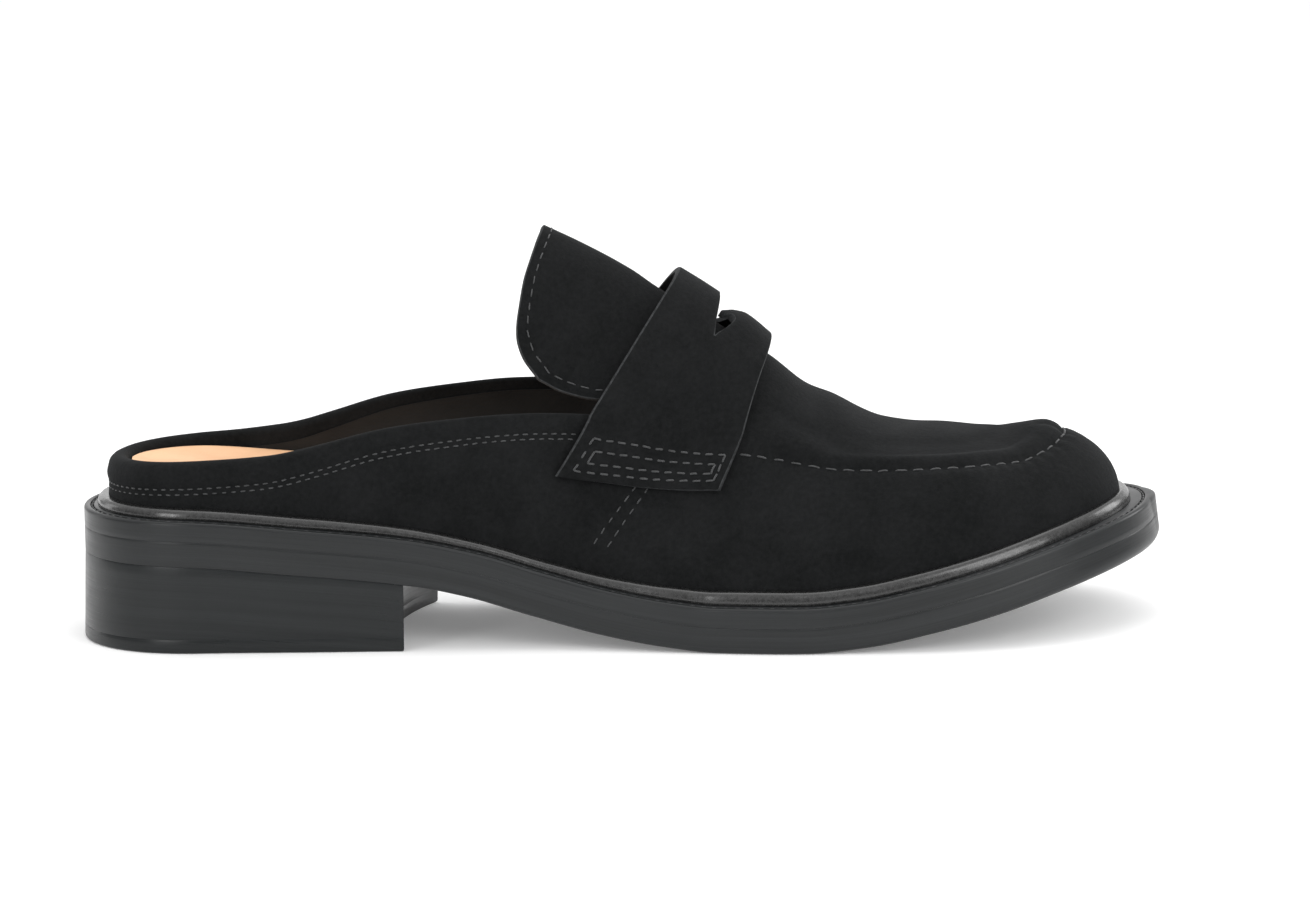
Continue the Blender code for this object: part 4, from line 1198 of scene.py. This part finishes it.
def make_strap():
    """Band with rounded raw edges and the slot at the crown."""
    wall = np.concatenate([np.linspace(0.0, 0.22, 6)[:-1], np.linspace(0.22, 1.0, 18)[:-1]])
    over = 1 + np.linspace(0.0, 1.0, 90)
    width = np.linalg.norm(np.subtract(*rib(loop_place([STRAP_FRONT, STRAP_REAR], -1), np.full(2, 2.0))))
    reach = np.clip(np.interp(over, STRAP_SAMPLE, STRAP_RUN) / SLOT_HALF_LENGTH, 0.0, 1.0)
    reach = from_side_to_side(np.concatenate([np.ones(len(wall)), reach]))
    on_wall = from_side_to_side(np.arange(len(wall) + len(over)) < len(wall))
    climb = from_side_to_side(np.concatenate([wall, 0 * over]))
    rise = from_side_to_side(np.concatenate([0 * wall, over]))
    count = len(reach)
    side = np.where(np.arange(count) <= count // 2, -1, 1)
    open_rear, open_front = (through(SLOT_EDGES, column, reach) for column in (1, 2))
    gap = np.where(reach < 0.999, np.maximum(open_rear, 0.004), 0.0)
    near = np.array([0.0, 0.00012, 0.0003, 0.0006])[:, None] / width + np.zeros(count)
    sink = STRAP_EDGE_ROUND * np.array([1.0, 0.45, 0.12, 0.0])[:, None]
    end_sink = np.zeros(count)
    end_sink[[0, -1]] = STRAP_EDGE_ROUND
    end_sink[[1, -2]] = 0.3 * STRAP_EDGE_ROUND
    middle = np.linspace(0.0, 1.0, 12)[1:-1, None]

    def band(start, end, rear_cut, front_cut):
        """Outer and inner grids of a band between two shares of the width on each row."""
        span = end - start
        shares = np.concatenate([start + near, start + near[-1] + (span - 2 * near[-1]) * middle,
                                 (end - near)[::-1]])
        sunk = np.concatenate([sink * rear_cut, np.zeros((len(middle), count)),
                               sink[::-1] * front_cut])
        outer, inner = [], []
        for share, sunk_row in zip(shares, sunk):
            low = np.where(side < 0, np.interp(share, STRAP_LOW_SAMPLE, STRAP_LOWS[-1]),
                           np.interp(share, STRAP_LOW_SAMPLE, STRAP_LOWS[1]))
            up = np.where(on_wall, low + (1 - low) * climb, rise)
            point, normal = strap_skin(share, up, side)
            outer.append(point - normal * np.maximum(sunk_row, end_sink)[:, None])
            inner.append(point - normal * STRAP_WALL)
        return np.stack(outer), np.stack(inner)

    cut, whole = np.clip(gap / 0.02, 0.0, 1.0), np.ones(count)
    slot = np.flatnonzero(gap > 0)
    first, last = slot[0] - 1, slot[-1] + 1
    parts = []
    for start, end, at_rear in ((0 * whole, SLOT_PLACE - open_rear, True),
                                (SLOT_PLACE + open_front, whole, False)):
        outer, inner = band(start, end, *((whole, cut) if at_rear else (cut, whole)))
        free, slotted = (outer[:3], outer[-3:]) if at_rear else (outer[-3:], outer[:3])
        parts += [(outer[2:-2], 0), (free, 2), (inner, 1), (slotted[:, :first + 1], 0),
                  (slotted[:, first:last + 1], 2), (slotted[:, last:], 0)]
        borders = [(outer[0], inner[0]), (outer[-1], inner[-1])]
        at_slot = 1 if at_rear else 0
        borders[at_slot] = tuple(line[first:last + 1] for line in borders[at_slot])
        borders += [(outer[:, 0], inner[:, 0]), (outer[:, -1], inner[:, -1])]
        parts += [(np.stack([line_out, (line_out + line_in) / 2, line_in]), 2)
                  for line_out, line_in in borders]
    return settle(mesh_piece("suede_strap", parts, [SUEDE, LINING, CUT_EDGE]), "suede", "saddle_strap")


# Stitches

CHANCE = np.random.default_rng(11)
THREAD_SIDES = 6
THREAD_PARTS = np.linspace(0.0, 1.0, 6)


def stitches(line, up, size):
    """Corner points of each stitch on a line over a surface: stitch, part, side, xyz."""
    length, pitch, radius = size
    run = run_of(line)
    count = max(2, int(round((run[-1] - length) / pitch)) + 1)
    starts = np.linspace(0.0, run[-1] - length, count)
    reach = length * (1 + CHANCE.uniform(-0.10, 0.10, count))
    where = starts[:, None] + reach[:, None] * THREAD_PARTS
    centre = np.stack([np.interp(where, run, line[:, axis]) for axis in range(3)], -1)
    raised = unit(np.stack([np.interp(where, run, up[:, axis]) for axis in range(3)], -1))
    sideways = np.cross(unit(np.gradient(centre, axis=1)), raised)
    tilt = CHANCE.uniform(-0.10, 0.10, count) * length
    slant = (THREAD_PARTS - 0.5) * tilt[:, None]
    bow = 1 - (2 * THREAD_PARTS - 1) ** 4
    centre = centre + sideways * slant[..., None] + raised * (radius * (1.35 * bow - 0.75))[..., None]
    turn = np.linspace(0.0, 2 * np.pi, THREAD_SIDES, endpoint=False)
    ring = (np.cos(turn)[:, None] * sideways[:, :, None, :]
            + np.sin(turn)[:, None] * raised[:, :, None, :])
    return centre[:, :, None, :] + radius * ring


def thread_piece(name, rows):
    """All the stitches of some rows as one mesh."""
    points = np.concatenate([stitches(*row) for row in rows])
    count, parts, sides = points.shape[:3]
    first = np.arange(count)[:, None, None] * parts * sides
    part = np.arange(parts - 1)[None, :, None] * sides
    side = np.arange(sides)[None, None, :]
    after = (side + 1) % sides
    faces = np.stack([first + part + side, first + part + after,
                      first + part + sides + after, first + part + sides + side], -1)
    mesh = bpy.data.meshes.new(name)
    mesh.from_pydata((points.reshape(-1, 3) + SHIFT).tolist(), [], faces.reshape(-1, 4).tolist())
    mesh.shade_smooth()
    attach(show(name, mesh, THREAD), "root")


def topline_rows():
    """Two rows below the collar's edge, from strap to strap round the heel."""
    outer = np.arange(0, int(np.searchsorted(loop_station(PLACE_LINE[:PLACES // 2]), TOPLINE_END)))
    place = PLACE_LINE[np.concatenate([outer[::-1], PLACES - outer])]
    return [(*skin(place, 1 - distance / wall_length(place)), TOPLINE_STITCH)
            for distance in TOPLINE_ROWS]


def moccasin_rows():
    """The seam round the apron."""
    place = PLACE_LINE[loop_station(PLACE_LINE) > SEAM_START - 0.02]
    return [(*skin(place, 1 - SEAM_DISTANCE / wall_length(place)), MOC_STITCH)]


def side_rows():
    """Two rows on each side, from near the sole to under the strap."""
    rows = []
    for side in (-1, 1):
        for beside in SIDE_SEAM_ROWS:
            share = (SIDE_SEAM_END / wall_length(PLACE_LINE).max()
                     + np.linspace(0.0, SIDE_SEAM_SHARE, 40))
            station = (SIDE_SEAM_FOOT + (SIDE_SEAM_TOP - SIDE_SEAM_FOOT) * share
                       + beside / SOLE_LENGTH)
            rows.append((*skin(loop_place(station, side), share), SEAM_STITCH))
    return rows


def tongue_rows():
    """One row inside the tongue's edge."""
    turn = np.linspace(-1.0, 1.0, 161)
    end_along = (1 - TONGUE_ROW / TONGUE_LENGTH) * tongue_reach(turn)
    down = np.linspace(0.30, 1.0, 30)
    sides = np.full(len(down), 1.0)
    across = TONGUE_THREAD_PLACE * np.concatenate([-sides, turn, sides])
    along = np.concatenate([down * end_along[0], end_along, down[::-1] * end_along[-1]])
    return [(*tongue_skin(across, along), TONGUE_STITCH)]


def strap_rows():
    """Boxes of stitches on the strap's low ends."""
    rows = []
    part = np.linspace(0.0, 1.0, 24)
    for side in (-1, 1):
        for rear, front, low_rear, low_front, high_rear, high_front in STRAP_BOXES:
            corners = ((rear, low_rear), (front, low_front), (front, high_front),
                       (rear, high_rear), (rear, low_rear))
            for (share_a, above_a), (share_b, above_b) in zip(corners[:-1], corners[1:]):
                share = share_a + (share_b - share_a) * part
                height = (above_a + (above_b - above_a) * part
                          + STRAP_LOW_REAR + (STRAP_LOW_FRONT - STRAP_LOW_REAR) * share)
                places = loop_place(STRAP_REAR + (SPREAD - STRAP_TUCK) * share, side)
                up = np.array([share_at(*pair) for pair in zip(places, height)])
                rows.append((*strap_skin(share, up, side), STRAP_STITCH))
    return rows


def rim_rows():
    """One row in the groove of the rim."""
    inset = np.full(len(PLACE_LINE), GROOVE_INSET + 0.5 * GROOVE_WIDTH)
    line, low, high = (on_sole(PLACE_LINE, inset, RIM_LEVEL + up)
                       for up in (-0.55 * GROOVE_DEPTH, 0.0, 0.001))
    return [(line, unit(high - low), RIM_STITCH)]


settle(make_outsole(), "sole", "outsole")
settle(make_welt(), "welt", "welt")
settle(make_rand(), "rand", "rand")
settle(make_heel(), "heel", "heel_block")
settle(make_footbed(), "insole", "insole")
make_upper()
make_lining_shell()
make_tongue()
make_strap()
thread_piece("threads_topline", topline_rows())
thread_piece("threads_moccasin", moccasin_rows())
thread_piece("threads_side", side_rows())
thread_piece("threads_tongue", tongue_rows())
thread_piece("threads_strap", strap_rows())
thread_piece("threads_rim", rim_rows())


# Studio

def make_floor():
    """White floor that the shoe stands on."""
    size = FLOOR_HALF
    mesh = bpy.data.meshes.new("studio_floor")
    mesh.from_pydata([(-size, -size, 0.0), (size, -size, 0.0), (size, size, 0.0), (-size, size, 0.0)],
                     [], [(0, 1, 2, 3)])
    floor = show("studio_floor", mesh, make_floor_paint())
    floor.location.z = CAD_BOX[0][2] - FLOOR_GAP


def soft_light(name, place, aim, size, power):
    """Rectangular soft box that looks at a point."""
    lamp = bpy.data.lights.new(name, "AREA")
    lamp.shape = "RECTANGLE"
    lamp.size, lamp.size_y = size
    lamp.energy = power
    made = bpy.data.objects.new(name, lamp)
    made.location = place
    made.rotation_mode = "QUATERNION"
    made.rotation_quaternion = (Vector(place) - Vector(aim)).to_track_quat("Z", "Y")
    bpy.context.scene.collection.objects.link(made)


def make_camera():
    """Camera at the photograph's angle."""
    turn, rise, tip = (math.radians(angle) for angle in (AZIMUTH, ELEVATION, ROLL))
    back = Vector((math.sin(turn) * math.cos(rise), -math.cos(turn) * math.cos(rise), math.sin(rise)))
    right = Vector((math.cos(turn), math.sin(turn), 0.0))
    up = back.cross(right)
    tipped_right = right * math.cos(tip) - up * math.sin(tip)
    tipped_up = up * math.cos(tip) + right * math.sin(tip)
    data = bpy.data.cameras.new("camera")
    data.lens = LENS_PIXELS * SENSOR / PHOTO_PIXELS
    data.sensor_width = SENSOR
    data.sensor_fit = "HORIZONTAL"
    data.clip_start, data.clip_end = 0.05, 40.0
    made = bpy.data.objects.new("camera", data)
    turned = Matrix((tipped_right, tipped_up, back)).transposed().to_4x4()
    made.matrix_world = Matrix.Translation(Vector(CAMERA_TARGET) + back * CAMERA_DISTANCE) @ turned
    bpy.context.scene.collection.objects.link(made)
    bpy.context.scene.camera = made


def make_sky():
    """White sky that is dimmer towards the horizon."""
    world = bpy.data.worlds.new("studio")
    world.use_nodes = True
    tree = world.node_tree
    sky = tree.nodes["Background"]
    sky.inputs["Color"].default_value = (1.0, 1.0, 1.0, 1.0)
    seen = add(tree, "ShaderNodeTexCoord").outputs["Generated"]
    above = add(tree, "ShaderNodeSeparateXYZ", {"Vector": seen}).outputs["Z"]
    tree.links.new(spread(tree, above, SKY_LOW, SKY_HIGH, 0.0, 1.0), sky.inputs["Strength"])
    bpy.context.scene.world = world


make_floor()
for light in LIGHTS:
    soft_light(*light)
make_sky()
bpy.context.scene.view_settings.view_transform = "Standard"
make_camera()
